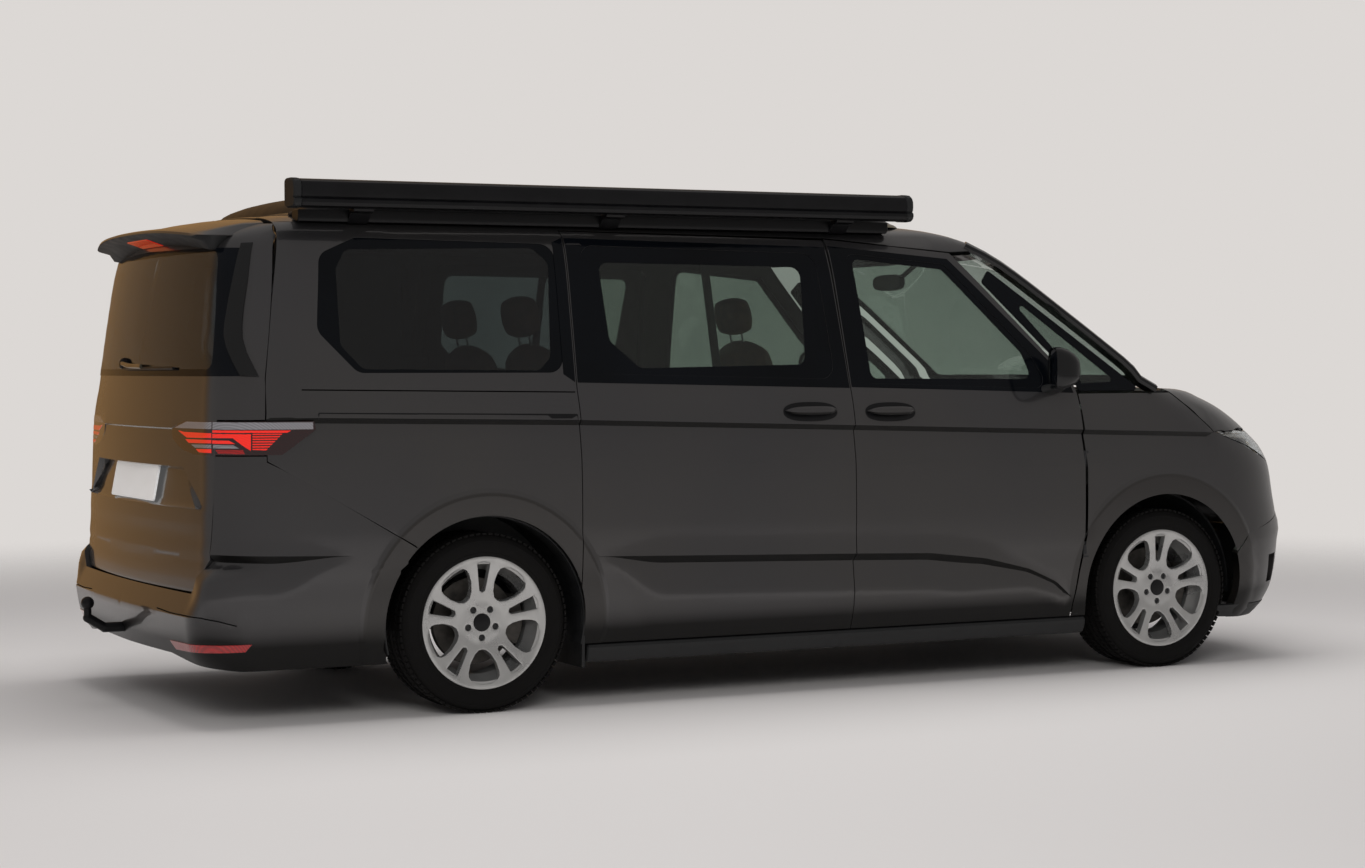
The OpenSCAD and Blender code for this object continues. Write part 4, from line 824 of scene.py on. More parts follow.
# rear bumper round the tail, from wheel to wheel
def bumperSurface(uv):
    p = tailPoint(uv[:, 0], uv[:, 1])
    side = fade(780, 862, np.abs(p[:, 1]))
    amount = sideRelief(p[:, 0], p[:, 2]) * side
    # a sloping shelf under the tailgate
    amount -= np.interp(p[:, 2], (400, 482, 540, 590), (0, 38, 36, 0)) * fade(930, 760, np.abs(uv[:, 0]))
    return pushed(tailPoint, uv[:, 0], uv[:, 1], amount)


lowestOutline = 190  # the outlines of tail and nose aren't followed further down


def archAlong(find, loop, hubX=0.0):
    return np.array([(find(x + hubX, max(z, lowestOutline))[0], z) for x, z in loop])


bumperEdge = [(0, 246), (560, 250), (760, 226), (1000, 204), tailX(-1880, 204), tailX(-1700, 204), tailX(-1700, 545),
              tailX(-1851, 632), tailX(-2416, 957), tailX(-2416, 978), tailY(851, 978), tailY(851, 604), tailY(760, 480), (0, 480)]
seamPath = np.array([(470, 408), (633, 402), (800, 403), (897, 400), (980, 389), (1057, 371)], float)
bumperSeam = np.vstack([seamPath, seamPath[::-1] + [0, 6.5]])
bumperLines = []
for sign in (1, -1):
    for d in (0, -28, -46):
        bumperLines.append(np.array([(sign * tailX(x, 620)[0], 613 + 15 * (-2127 - x) / 473 + d * tailSize(x))
                                     for x in np.arange(-2600, -2080, 20)]))
    bumperLines.append(np.array([(sign * 20, 400), (sign * 930, 400)]))
    for r in flareRadii:
        loop = ringLoop(0, axleZ, r, 120)
        loop = loop[(loop[:, 0] < 60)]
        loop = loop[np.argsort(-np.arctan2(loop[:, 1] - axleZ, -loop[:, 0]))]
        bumperLines.append(archAlong(tailX, loop, -axleX) * [sign, 1])
panel("rearBumperPanel", bumperSurface, mirrorLoop(bumperEdge), paint, "body", "body_paint", ["rear_bumper"],
      cuts=withMirror(archAlong(tailX, archLoops[0])) + withMirror(bumperSeam), lines=bumperLines, depth=40, step=28)
reflector = [(600, 300), (tailX(-2470, 300)[0], 305), (tailX(-2490, 275)[0], 280), (640, 270)]
acrossPair("rearReflector", plainTail, reflector, redLens, "body", "red_lens", depth=6, step=24, rim=1.2, sink=-2)
print("tail ready")


# meshes from rings of points
def turns(count):
    return np.arange(count) * 2 * math.pi / count


def ringFaces(rings, n, closed=False):
    # quads between rings of n points each; closed joins the last ring to the first
    return [(i * n + j, i * n + (j + 1) % n, (i + 1) % rings * n + (j + 1) % n, (i + 1) % rings * n + j)
            for i in range(rings if closed else rings - 1) for j in range(n)]


def closedRings(rings):
    n = len(rings[0])
    ends = [tuple(range(n))[::-1], tuple(range((len(rings) - 1) * n, len(rings) * n))]
    return np.vstack(rings), ringFaces(len(rings), n) + ends


# spoiler over the rear glass: a visor with a body-coloured top and a black underside
spoilerShape = {"halfWidth": 704, "tipX": -2664, "sweep": 72, "rootX": -2330, "droop": 26, "endFrom": 0.94}


def spoilerTip(k):
    return spoilerShape["tipX"] + spoilerShape["sweep"] * k ** 2.6


def spoilerUnder(k):
    tip, droop = spoilerTip(k), spoilerShape["droop"] * k ** 3
    return [(tip, 1806 - 6 * k ** 2 - droop), (tip + 6, 1799 - 6 * k ** 2 - droop), (tip + 50, 1786 - 6 * k ** 2 - droop),
            (-2530, 1758 - 8 * k ** 2 - droop), (-2480, 1750 - 8 * k ** 2 - droop), (-2400, 1790 - 10 * k ** 2),
            (spoilerShape["rootX"], 1836 - 20 * k ** 2)]


def spoilerTop(k):
    tip, droop = spoilerTip(k), spoilerShape["droop"] * k ** 3
    return [(spoilerShape["rootX"], 1866 - 22 * k ** 2 - droop * 0.4), (-2400, 1859 - 20 * k ** 2 - droop * 0.6),
            (-2470, 1848 - 18 * k ** 2 - droop * 0.8), (-2540, 1833 - 14 * k ** 2 - droop),
            (tip + 22, 1820 - 8 * k ** 2 - droop), (tip + 4, 1814 - 6 * k ** 2 - droop)]


def spoilerMesh():
    rings = []
    for t in np.linspace(-1, 1, 49):
        k, start = abs(t), spoilerShape["endFrom"]
        # the visor closes to a thin edge at its ends
        rim = max(0.05, 1 - max(0.0, (k - start) / 0.06) ** 2) if k > start else 1.0
        section = spoilerTop(k) + spoilerUnder(k)
        middle = np.mean([z for _, z in section])
        rings.append([(x, t * spoilerShape["halfWidth"], middle + (z - middle) * rim) for x, z in section])
    points, faces = closedRings(rings)
    return points, faces[:-2] + [end[::-1] for end in faces[-2:]]


spoiler = makeObject("spoilerVisor", *spoilerMesh(), paint, "tailgate_body", (), "body_paint", 40, materials=[grainPlastic])
for face in spoiler.data.polygons:
    if face.normal.z < -0.25:
        face.material_index = 1
thirdLamp = {"halfWidth": 140, "from": 44, "to": 108, "above": 4, "below": 3}
lampRings = []
for t in np.linspace(-1, 1, 17):
    y = t * thirdLamp["halfWidth"]
    k = abs(y) / spoilerShape["halfWidth"]
    under = np.array(spoilerUnder(k))
    xs = spoilerTip(k) + np.array([thirdLamp["from"], thirdLamp["to"]])
    zs = np.interp(xs, under[:, 0], under[:, 1])
    high, low = zs + thirdLamp["above"], zs - thirdLamp["below"]
    lampRings.append([(xs[0], y, high[0]), (xs[0], y, low[0]), (xs[1], y, low[1]), (xs[1], y, high[1])])
makeObject("thirdBrakeLamp", *closedRings(lampRings), litLens, "tailgate_body", (), "red_lens")

# number plate, bare
plate = {"halfWidth": 300, "low": 797, "high": 926, "round": 10}


def boxLoop(x0, x1, z0, z1, radius):
    return roundCorners([(x0, z0), (x1, z0), (x1, z1), (x0, z1)], radius)


def plateSurface(uv):
    z = uv[:, 1]
    return np.stack([tailPoint(np.zeros(len(uv)), z)[:, 0] + recessDepth(z), uv[:, 0], z], 1)


plateLoop = boxLoop(-plate["halfWidth"], plate["halfWidth"], plate["low"], plate["high"], plate["round"])
panel("numberPlate", plateSurface, plateLoop, plateWhitePaintedGlow, "tailgate_body", "black_plastic", depth=8, step=40, rim=1.5, sink=-12)


# nose
def noseY(y, z):
    return onOutline(nosePoint, 1, y, z, noseBow + noseCorner)


def noseX(x, z):
    return onOutline(nosePoint, 0, x, z, 5000.0, -1)


def noseSurface(uv):
    p = nosePoint(uv[:, 0], uv[:, 1])
    r = np.hypot(p[:, 0] - axleX, p[:, 2] - axleZ)
    amount = flareRelief(r) * fade(800, 900, np.abs(p[:, 1]))
    amount += np.interp(p[:, 2], (520, 560, 600, 640), (0, 10, 10, 0)) * fade(900, 700, np.abs(p[:, 1]))
    return pushed(nosePoint, uv[:, 0], uv[:, 1], amount)


def plainNose(uv):
    return nosePoint(uv[:, 0], uv[:, 1])


noseEdge = [(0, 185), noseY(860, 190), noseX(1830, 200), noseX(1755, 243), noseX(2005, 562), noseX(2304, 642),
            noseX(2304, 864), (0, 864)]
intake = roundCorners(mirrorLoop([(0, 285), noseY(690, 285), noseY(640, 520), (0, 520)]), 30)
sideVent = np.array([(862, 335), (968, 333), (984, 458), (884, 462)], float)
panel("frontBumperPanel", noseSurface, mirrorLoop(noseEdge), paint, "body", "body_paint", ["front_bumper"],
      cuts=[intake] + withMirror(archAlong(noseX, archLoops[1])) + withMirror(sideVent),
      lines=[np.array([(-1000, z), (1000, z)]) for z in (560, 600)], depth=40, step=30)
panel("intakeBack", plainNose, intake, grainPlastic, "body", "black_plastic", depth=6, step=60, rim=1, sink=46)
acrossPair("sideVentBack", plainNose, sideVent, grainPlastic, "body", "black_plastic", depth=6, step=40, rim=1, sink=26)
lipLoop = mirrorLoop([(0, 188), noseY(856, 192), noseX(1845, 203), noseX(1800, 248), (900, 246), (0, 244)])
panel("noseLip", plainNose, lipLoop, grainPlastic, "body", "black_plastic", depth=14, step=40, rim=2, sink=-3)
slats = {"count": 6, "low": 300, "pitch": 38, "height": 15, "halfWidth": 684, "taper": 10}
for k in range(slats["count"]):
    z = slats["low"] + slats["pitch"] * k
    half = noseY(slats["halfWidth"] - slats["taper"] * k, z + 8)[0]
    panel("intakeSlat%d" % k, plainNose, boxLoop(-half, half, z, z + slats["height"], 5), pianoBlack, "body", "black_plastic",
          ["grille"] if k == 0 else (), depth=20, step=60, rim=3, sink=16)
noseBar = mirrorLoop([(0, 866), noseY(418, 866), noseY(418, 1000), (0, 1000)])
panel("noseBar", plainNose, noseBar, pianoBlack, "body", "black_plastic", ["nose_bar"], depth=40, step=40, rim=2)

# headlamps: clear lens, dark bowl, two bright cells and a gold brow
headlampLoop = np.array([noseY(421, 868), noseX(2200, 868), noseX(1834, 999), noseY(421, 999)])
brow = np.array([(noseY(440, 990)[0], 978), (noseX(2100, 985)[0], 972), noseX(1860, 990), noseX(1860, 995),
                 (noseY(440, 995)[0], 994)])
cells = [boxLoop(noseY(y0, 930)[0], noseY(y1, 930)[0], 885, 968, 18) for y0, y1 in ((470, 590), (610, 730))]
cellShape = {"depth": 14, "step": 20, "rim": 5, "sink": 20}
headlamp = {
    "headlampLens": (shrink(headlampLoop, 1), clearLens, {"depth": 5, "step": 30, "rim": 1.5, "sink": 0.5}),
    "headlampBowl": (shrink(headlampLoop, 2), satinBlack, {"depth": 8, "step": 40, "rim": 1, "sink": 36}),
    "headlampCell0": (cells[0], trimAluminium, cellShape), "headlampCell1": (cells[1], trimAluminium, cellShape),
    "headlampBrow": (brow, goldLens, {"depth": 8, "step": 30, "rim": 2, "sink": 14})}
for sign, side in mirrorSides:
    for key, (loop, material, shape) in headlamp.items():
        nodes = ["headlamps"] if key + side == "headlampLensRight" else ()
        panel(key + side, plainNose, loop * [sign, 1], material, "body", "clear_lens", nodes, **shape)


# bonnet
def bonnetSurface(uv):
    x, y = uv[:, 0], uv[:, 1]
    z = topZ(x, y, 940, 1191.9)
    ridge = np.interp(np.abs(y), (0, 420, 470, 620), (0, 0, 6, 0)) * fade(2250, 2050, x)
    return np.stack([x, y, z + ridge], 1)


def screenX(y, grow):
    # x of the windscreen's foot at a distance from the middle
    w, xr, xf, br, bf, rx, ry, fx, fy = bodyAt(1192.0)
    w, xf = w + grow, xf + grow
    a = np.abs(np.array([float(y)]))
    bow = xf - bf * (a / (w - fy)) ** 2
    corner = xf - bf - fx * (1 - np.sqrt(np.clip(1 - ((a - (w - fy)) / fy) ** 2, 0, 1)))
    return float(np.where(a <= w - fy, bow, corner)[0])


def widthAt(x, z):
    return float(halfWidth(np.array([float(x)]), np.array([float(z)]))[0])


def levelX(y, z):
    return bisect(lambda x: -widthAt(x, z), -y, 0.0, 2480.0)


def wholePlan(half):
    return np.array(half + [(x, -y) for x, y in reversed(half) if y > 1])


bonnetHalf = [(levelX(y, 1007), y) for y in (0.01, 150, 300, 450, 560, 660, 740, 800)]
bonnetHalf += [(x, widthAt(x, z)) for x, z in ((1960, 1007), (1900, 1007), (1820, 1007), (1750, 1067), (1680, 1128),
                                               (1640, 1163), (1614, 1184))]
rear = [(screenX(y, 14), y) for y in (880, 860, 820, 760, 640, 480, 320, 160, 0.01)]
bonnetHalf += [p for p in rear if p[1] < bonnetHalf[-1][1] - 20]
panel("bonnetPanel", bonnetSurface, wholePlan(bonnetHalf), paint, "bonnet_body", "body_paint", ["bonnet"],
      lines=[np.array([(1700, s * y), (2280, s * y)]) for s in (1, -1) for y in (420, 470)], depth=14, step=30)


# windscreen
def screenSurface(uv):
    y, z = uv[:, 0], uv[:, 1]
    w, xr, xf, br, bf, rx, ry, fx, fy = bodyAt(z)
    k = np.clip(np.abs(y) / (w - fy), 0, 1.0)
    turn = np.clip((np.abs(y) - (w - fy)) / fy, 0, 0.97)
    return np.stack([xf - bf * k * k - fx * (1 - np.sqrt(1 - turn ** 2)), y, z], 1)


screenLoop = roundCorners([(-836, 1206), (836, 1206), (706, 1786), (-706, 1786)], 30)
screenClear = roundCorners([(-790, 1250), (790, 1250), (672, 1752), (-672, 1752)], 40)
panel("screenFrit", screenSurface, shrink(screenLoop, glassFit["clearance"]), pianoBlack, "body", "tinted_glass", ["windscreen"],
      cuts=[screenClear], depth=5, step=40, rim=1, sink=2)
panel("screenPane", screenSurface, shrink(screenClear, glassFit["paneGap"]), clearGlass, "body", "tinted_glass",
      depth=4, step=40, rim=0.3, sink=2.3)
print("nose ready")


# roof, pillars, cowl
def roofSurface(uv):
    x, y = uv[:, 0], uv[:, 1]
    return np.stack([x, y, topZ(x, y, 1700, 1891.9)], 1)


roofHalf = [(levelX(y, 1790), y) for y in (0.01, 200, 400, 560, 640)]
roofHalf += [(x, widthAt(x, z)) for x, z in ((760, 1780), (700, 1772), (590, 1766), (300, 1787), (8, 1814), (-600, 1819),
                                             (-1200, 1825), (-1800, 1830), (-2200, 1834), (-2296, 1835))]
roofHalf += [(-2296, 500), (-2296, 250), (-2296, 0.01)]
popHole = boxLoop(-1850, 450, -530, 530, 40)
panel("roofSkin", roofSurface, wholePlan(roofHalf), paint, "body", "body_paint", ["roof_panel"], cuts=[popHole], depth=32, step=40)


def sweep(path, section):
    # carries a section (across, up) along points; across is level, up leans with the path
    path = np.array(path, float)
    rings = []
    for i, p in enumerate(path):
        ahead = path[min(i + 1, len(path) - 1)] - path[max(i - 1, 0)]
        ahead /= np.linalg.norm(ahead)
        across = np.cross(ahead, (0, 0, 1))
        across /= np.linalg.norm(across)
        up = np.cross(across, ahead)
        rings.append([p + across * a + up * b for a, b in section])
    return closedRings(rings)


def pillarPath(side):
    made = []
    for z in np.linspace(1200, 1800, 16):
        w, xr, xf, br, bf, rx, ry, fx, fy = bodyAt(z)
        made.append((xf - bf - fx * 0.5, side * (w - fy * 0.42), z))
    return made


pillarSection = [(-42, -26), (-48, -14), (-44, -1), (-22, 9), (0, 12), (22, 9), (43, -1), (48, -14), (42, -26)]
for side, name in ((-1, "Right"), (1, "Left")):
    makeObject("screenPillar" + name, *sweep(pillarPath(side), pillarSection), pianoBlack, "body", (), "body_paint", 40)
cowl = {"z": 1180.0, "ahead": 2, "behind": 70}
cowlHalf = [(screenX(y, 10), y) for y in np.linspace(0, 880, 12)]
cowlLoop = [(x + cowl["ahead"], y) for x, y in cowlHalf] + [(x - cowl["behind"], y) for x, y in reversed(cowlHalf)]
cowlLoop += [(x - cowl["behind"], -y) for x, y in cowlHalf[1:]] + [(x + cowl["ahead"], -y) for x, y in reversed(cowlHalf[1:])]


def cowlSurface(uv):
    return np.stack([uv[:, 0], uv[:, 1], np.full(len(uv), cowl["z"])], 1)


panel("cowlTray", cowlSurface, cowlLoop, grainPlastic, "body", "black_plastic", depth=20, step=60, rim=2)
print("roof ready")

# lifting roof, with columns as in bodyLevels
popLevels = [(1862, 640, -2190, 640, 40, 150, 120, 110, 160, 130), (1900, 630, -2170, 560, 40, 140, 120, 110, 160, 130),
             (1935, 600, -2120, 430, 40, 120, 130, 120, 170, 140), (1955, 520, -2040, 280, 40, 100, 150, 140, 180, 160),
             (1962, 400, -1900, 100, 30, 80, 150, 150, 180, 160)]
popAt = smoothRows(popLevels)
popShape = {"wall": 16, "drop": 12, "topZ": 1962, "crown": 4}


def planRing(z, inset, count=12):
    w, xr, xf, br, bf, rx, ry, fx, fy = popAt(z)
    w, xr, xf = w - inset, xr + inset, xf - inset
    k = np.linspace(0, 1, count, endpoint=False)
    a = np.linspace(0, math.pi / 2, count)
    half = np.vstack([np.stack([xr + br * k * k, (w - ry) * k], 1),
                      np.stack([xr + br + rx * (1 - np.cos(a)), w - ry * (1 - np.sin(a))], 1),
                      np.stack([np.linspace(xr + br + rx, xf - bf - fx, 42)[1:-1], np.full(40, w)], 1),
                      np.stack([xf - bf - fx * (1 - np.cos(a[::-1])), w - fy * (1 - np.sin(a[::-1]))], 1),
                      np.stack([xf - bf * k[::-1] ** 2, (w - fy) * k[::-1]], 1)])
    full = np.vstack([half, (half * [1, -1])[1:-1][::-1]])
    return np.column_stack([full, np.full(len(full), z)])


rings = [planRing(z, 0) for z in (1866, 1872, 1886, 1900, 1916, 1930, 1942, 1950, 1956, 1960)]
for grow in (60, 140, 210):
    ring = planRing(popShape["topZ"], grow * 0.98)
    ring[:, 2] = popShape["topZ"] + popShape["crown"] * (1 - math.exp(-grow / 150))
    rings.append(ring)
inside = [planRing(z, popShape["wall"]) - [0, 0, popShape["drop"]] for z in (1962, 1950, 1930, 1900, 1880)]
n = len(rings[0])
base, last = len(rings) * n, (len(rings) + len(inside) - 1) * n
faces = ringFaces(len(rings), n) + [tuple(range(base - n, base))]
faces += [tuple(base + i for i in f) for f in ringFaces(len(inside), n)] + [tuple(range(base, base + n))[::-1]]
faces += [(j, (j + 1) % n, last + (j + 1) % n, last + j) for j in range(n)]
makeObject("popRoofShell", np.vstack(rings + inside), faces, satinBlack, "pop_roof_body", ["pop_roof"], "black_plastic", 40)
lip = [planRing(z, inset) for z, inset in ((1868, -2), (1874, -5), (1880, -5), (1884, -1), (1884, 6), (1868, 6))]
makeObject("popRoofLip", np.vstack(lip), ringFaces(len(lip), n, True), trimAluminium, "pop_roof_body", (), "black_plastic", 40)

# awning case with end caps, feet and rail, as sections of y and z
awning = {"x0": -2270, "x1": 370, "cap": 34, "overlap": 4, "footX": (-2020, -990, 40), "footLength": 80}
awningSection = [(-742, 1984), (-752, 1990), (-800, 1989), (-828, 1985), (-843, 1976), (-850, 1962), (-852, 1940), (-849, 1922),
                 (-846, 1921), (-844, 1918), (-848, 1915), (-853, 1911), (-854, 1900), (-848, 1888), (-836, 1883), (-800, 1882),
                 (-760, 1884), (-744, 1890), (-740, 1900), (-740, 1976)]
footSection = [(-700, 1838), (-722, 1832), (-762, 1868), (-796, 1874), (-800, 1886), (-748, 1886), (-720, 1862)]
railSection = [(-660, 1852), (-712, 1836), (-726, 1838), (-734, 1852), (-734, 1880), (-700, 1882), (-664, 1880)]


def extrudeX(shape, x0, x1, grow=0.0, bevel=3.0):
    shape = np.array(shape, float)
    middle = shape.mean(0)
    rings = []
    for x, change in ((x0, -bevel), (x0 + bevel, 0), (x1 - bevel, 0), (x1, -bevel)):
        d = shape - middle
        d = d * (1 + (grow + change) / np.linalg.norm(d, axis=1))[:, None]
        rings.append([(x, y, z) for y, z in middle + d])
    return closedRings(rings)


capRear, capFront = awning["x0"] + awning["cap"], awning["x1"] - awning["cap"]
awningCase = extrudeX(awningSection, capRear - awning["overlap"], capFront + awning["overlap"])
makeObject("awningCase", *awningCase, satinBlack, "body", ["awning"], "awning_metal", 24)
for name, x0, x1 in (("awningCapRear", awning["x0"], capRear), ("awningCapFront", capFront, awning["x1"])):
    makeObject(name, *extrudeX(awningSection, x0, x1, 2.5, 7), grainPlastic, "body", (), "awning_metal", 30)
for k, x in enumerate(awning["footX"]):
    foot = extrudeX(footSection, x, x + awning["footLength"])
    makeObject("awningFoot%d" % k, *foot, satinBlack, "body", (), "awning_metal", 30)
makeObject("awningRail", *extrudeX(railSection, -2215, 318), satinBlack, "body", (), "awning_metal", 30)

# rear wiper: a boss, a bent arm and a rubber blade over the glass; the arm, black on the van, is pale metal as a
# painted glint
wiper = {"pivot": (199, 1316), "elbow": (60, 1306), "hook": (-120, 1304), "blade": [(190, 1296), (-492, 1297)],
         "armSection": [(-4, -9), (2, -9), (6, -5), (6, 5), (2, 9), (-4, 9)],
         "rubberSection": [(-6, -3), (3, -6), (5, 0), (3, 6), (-6, 3)]}


def onGlass(points, lift):
    points = np.array(points, float)
    return pushed(tailPoint, points[:, 0], points[:, 1], np.full(len(points), float(lift)))


armLine = onGlass(densify([wiper["pivot"], wiper["elbow"], wiper["hook"]], 20, False), 20)
bladeLine = onGlass(densify(wiper["blade"], 30, False), 12)
bossRings = [onGlass(ringLoop(*wiper["pivot"], r, 24), out) for out, r in ((-2, 22), (14, 22), (22, 19), (26, 12), (27, 2))]
for name, shape, material, sharp in (("wiperArm", sweep(armLine, wiper["armSection"]), trimAluminium, 30),
                                     ("wiperBlade", sweep(bladeLine, wiper["rubberSection"]), satinBlack, 30),
                                     ("wiperBoss", closedRings(bossRings), satinBlack, 40)):
    makeObject(name, *shape, material, "tailgate_body", (), "black_plastic", sharp)

# door mirrors, their glass turned in towards the driver
mirror = {"centre": (990, -1028, 1280), "turn": 21, "power": 3.2,
          "housing": ((952, 66, 72, 0), (942, 76, 82, 0), (940, 80, 86, 0), (946, 83, 89, 0), (965, 82, 88, 0), (995, 76, 80, -2),
                      (1022, 64, 66, -5), (1042, 46, 48, -8), (1052, 24, 26, -10)),
          "glass": ((945, 69, 75, 0), (949, 70, 76, 0), (956, 64, 70, 0)),
          "foot": ((1000, -1000, 1210, 22, 14), (1000, -975, 1204, 34, 16), (996, -950, 1198, 46, 18), (992, -934, 1194, 54, 20))}


def superRing(x, cy, cz, hy, hz, power, count=28):
    c, s = np.cos(turns(count)), np.sin(turns(count))
    return np.stack([np.full(count, float(x)), cy + hy * np.sign(c) * np.abs(c) ** (2 / power),
                     cz + hz * np.sign(s) * np.abs(s) ** (2 / power)], 1)


def turnedIn(rows):
    centre, turn = np.array(mirror["centre"]), math.radians(-mirror["turn"])
    c, s = math.cos(turn), math.sin(turn)
    made = []
    for x, hy, hz, lift in rows:
        d = superRing(x, centre[1], centre[2] + lift, hy, hz, mirror["power"]) - centre
        made.append(np.stack([d[:, 0] * c - d[:, 1] * s, d[:, 0] * s + d[:, 1] * c, d[:, 2]], 1) + centre)
    return closedRings(made)


footRings = []
for x, y, z, hx, hz in mirror["foot"]:
    ring = superRing(0, 0, 0, hx, hz, 3, 20)
    footRings.append(np.stack([x + ring[:, 1], np.full(20, float(y)), z + ring[:, 2]], 1))
for name, shape, material, nodes in (("mirrorHousing", turnedIn(mirror["housing"]), pianoBlack, ["mirror_{}"]),
                                     ("mirrorGlass", turnedIn(mirror["glass"]), mirrorChrome, None),
                                     ("mirrorFoot", closedRings(footRings), grainPlastic, None)):
    bothSides(name, shape, material, "front_door_{}_body", nodes, "black_plastic", 40)

# door handles: a dark cup and a painted grip
handles = {"sliding": {"x0": -296, "x1": -56, "z": 1113, "body": "body"},
           "frontDoor": {"x0": 79, "x1": 308, "z": 1108, "body": "front_door_{}_body"}}
handleShape = {"cupHalf": 36, "cupPower": 0.8, "inset": 4, "stand": 6, "lift": 30, "thick": 17, "deep": 7, "raise": 5}
for key, h in handles.items():
    cx, half = (h["x0"] + h["x1"]) / 2, (h["x1"] - h["x0"]) / 2
    c, s = np.cos(turns(40)), np.sin(turns(40))
    oval = np.stack([cx + half * np.sign(c) * np.abs(c) ** handleShape["cupPower"],
                     h["z"] + handleShape["cupHalf"] * np.sign(s) * np.abs(s) ** handleShape["cupPower"]], 1)
    sidePanel(key + "HandleCup", oval, satinBlack, h["body"], "black_plastic", depth=8, step=16, rim=3, sink=-2)
    rows, a = [], turns(12)
    for k in np.linspace(-1, 1, 25):
        x = cx + k * (half - handleShape["inset"])
        y = -widthAt(x, h["z"]) - handleShape["stand"]
        lift = handleShape["lift"] * (1 - abs(k) ** 5)
        thick = handleShape["thick"] * (1 - 0.25 * k * k) * max(0.15, (1 - abs(k) ** 8))
        rows.append(np.stack([np.full(12, x), y - lift + handleShape["deep"] * np.cos(a),
                              h["z"] + handleShape["raise"] + thick * np.sin(a)], 1))
    bothSides(key + "HandleGrip", closedRings(rows), paint, h["body"], None, "body_paint", 50)

# sills, and mud flaps ahead of the rear wheels
sillSection = [(-854, 234), (-912, 236), (-921, 232), (-926, 222), (-924, 204), (-915, 180), (-905, 168), (-895, 164), (-852, 164)]
bothSides("sillTrim", extrudeX(sillSection, -1140, 1168, 0, 6), grainPlastic, "body", ["side_sills"], "black_plastic", 30)
flap = {"x": -axleX + 396, "thickness": 12, "outline": ((-928, 150), (-932, 250), (-925, 420), (-700, 420), (-700, 150))}
flapRings = [np.array([(flap["x"] + dx, y, z) for y, z in flap["outline"]]) for dx in (0, flap["thickness"])]
bothSides("rearFlap", closedRings(flapRings), grainPlastic, "body", None, "black_plastic", 30)

# a band closes the rear arches between liner and skin, and a black strip behind the seam under the rear window is
# painted shade for its gap
archBand = {"from": -14, "to": 194, "section": ((399, -846), (404, -846), (404, -940), (399, -940))}
archRings = [np.array([(-axleX + r * math.cos(a), y, axleZ + r * math.sin(a)) for r, y in archBand["section"]])
             for a in np.radians(np.linspace(archBand["from"], archBand["to"], 60))]
bothSides("rearArchBand", closedRings(archRings), grainPlastic, "body", None, "black_plastic", 30)
sidePanel("quarterSeamBack", seamStrip(quarterSeam["backLow"], quarterSeam["backHigh"]), satinBlack, "body", "black_plastic",
          depth=4, step=40, rim=0.5, sink=47)

# cabin fittings that show through the glass: the inner mirror, a tall cabinet and the bar in the sliding window
innerMirror = [superRing(x, 0, 1660, hy, hz, 3)
               for x, hy, hz in ((752, 108, 28), (756, 120, 35), (775, 121, 36), (790, 100, 28), (798, 60, 16))]
mirrorStem = [superRing(x, 0, z, 14, 12, 2.4, 16) for x, z in ((790, 1664), (840, 1690), (905, 1738))]
for name, fitting in (("innerMirror", innerMirror), ("innerMirrorStem", mirrorStem)):
    makeObject(name, *closedRings(fitting), satinBlack, "body", (), "cabin_plastic", 40)
cabinet = {"x": (-1670, -1387), "y": (390, 640), "z": (1240, 1760)}
cabinetRings = [np.array([(x, cabinet["y"][i], cabinet["z"][j]) for i, j in ((0, 0), (1, 0), (1, 1), (0, 1))])
                for x in cabinet["x"]]
makeObject("tallCabinet", *closedRings(cabinetRings), cabinetWood, "body", (), "cabinet_wood", 20)
sidePanel("windowBar", boxLoop(-580, -548, 1285, 1698, 0), satinBlack, "body", "black_plastic", None, plainSide,
          depth=8, step=40, rim=1, sink=7.5)
print("trim ready")


# wheels
def lathe(profile, segments):
    points = [(r * math.cos(a), w, r * math.sin(a)) for a in turns(segments) for r, w in profile]
    return np.array(points), ringFaces(segments, len(profile), True)


# half a tyre as radius and distance from its middle, from the bead over the side to the middle rib
tyreHalf = [(231, -98), (246, -103), (251, -111), (256, -113), (262, -115), (266, -114), (272, -116), (284, -118), (298, -117),
            (306, -115), (308, -116), (312, -114), (320, -109), (327, -102), (331, -97), (333, -92), (334, -70), (334, -62),
            (328, -61), (328, -53), (334, -52), (334, -24), (328, -23), (328, -14), (334, -13)]
tyreProfile = tyreHalf + [(r, -w) for r, w in reversed(tyreHalf)] + [(238, 60), (238, -60)]


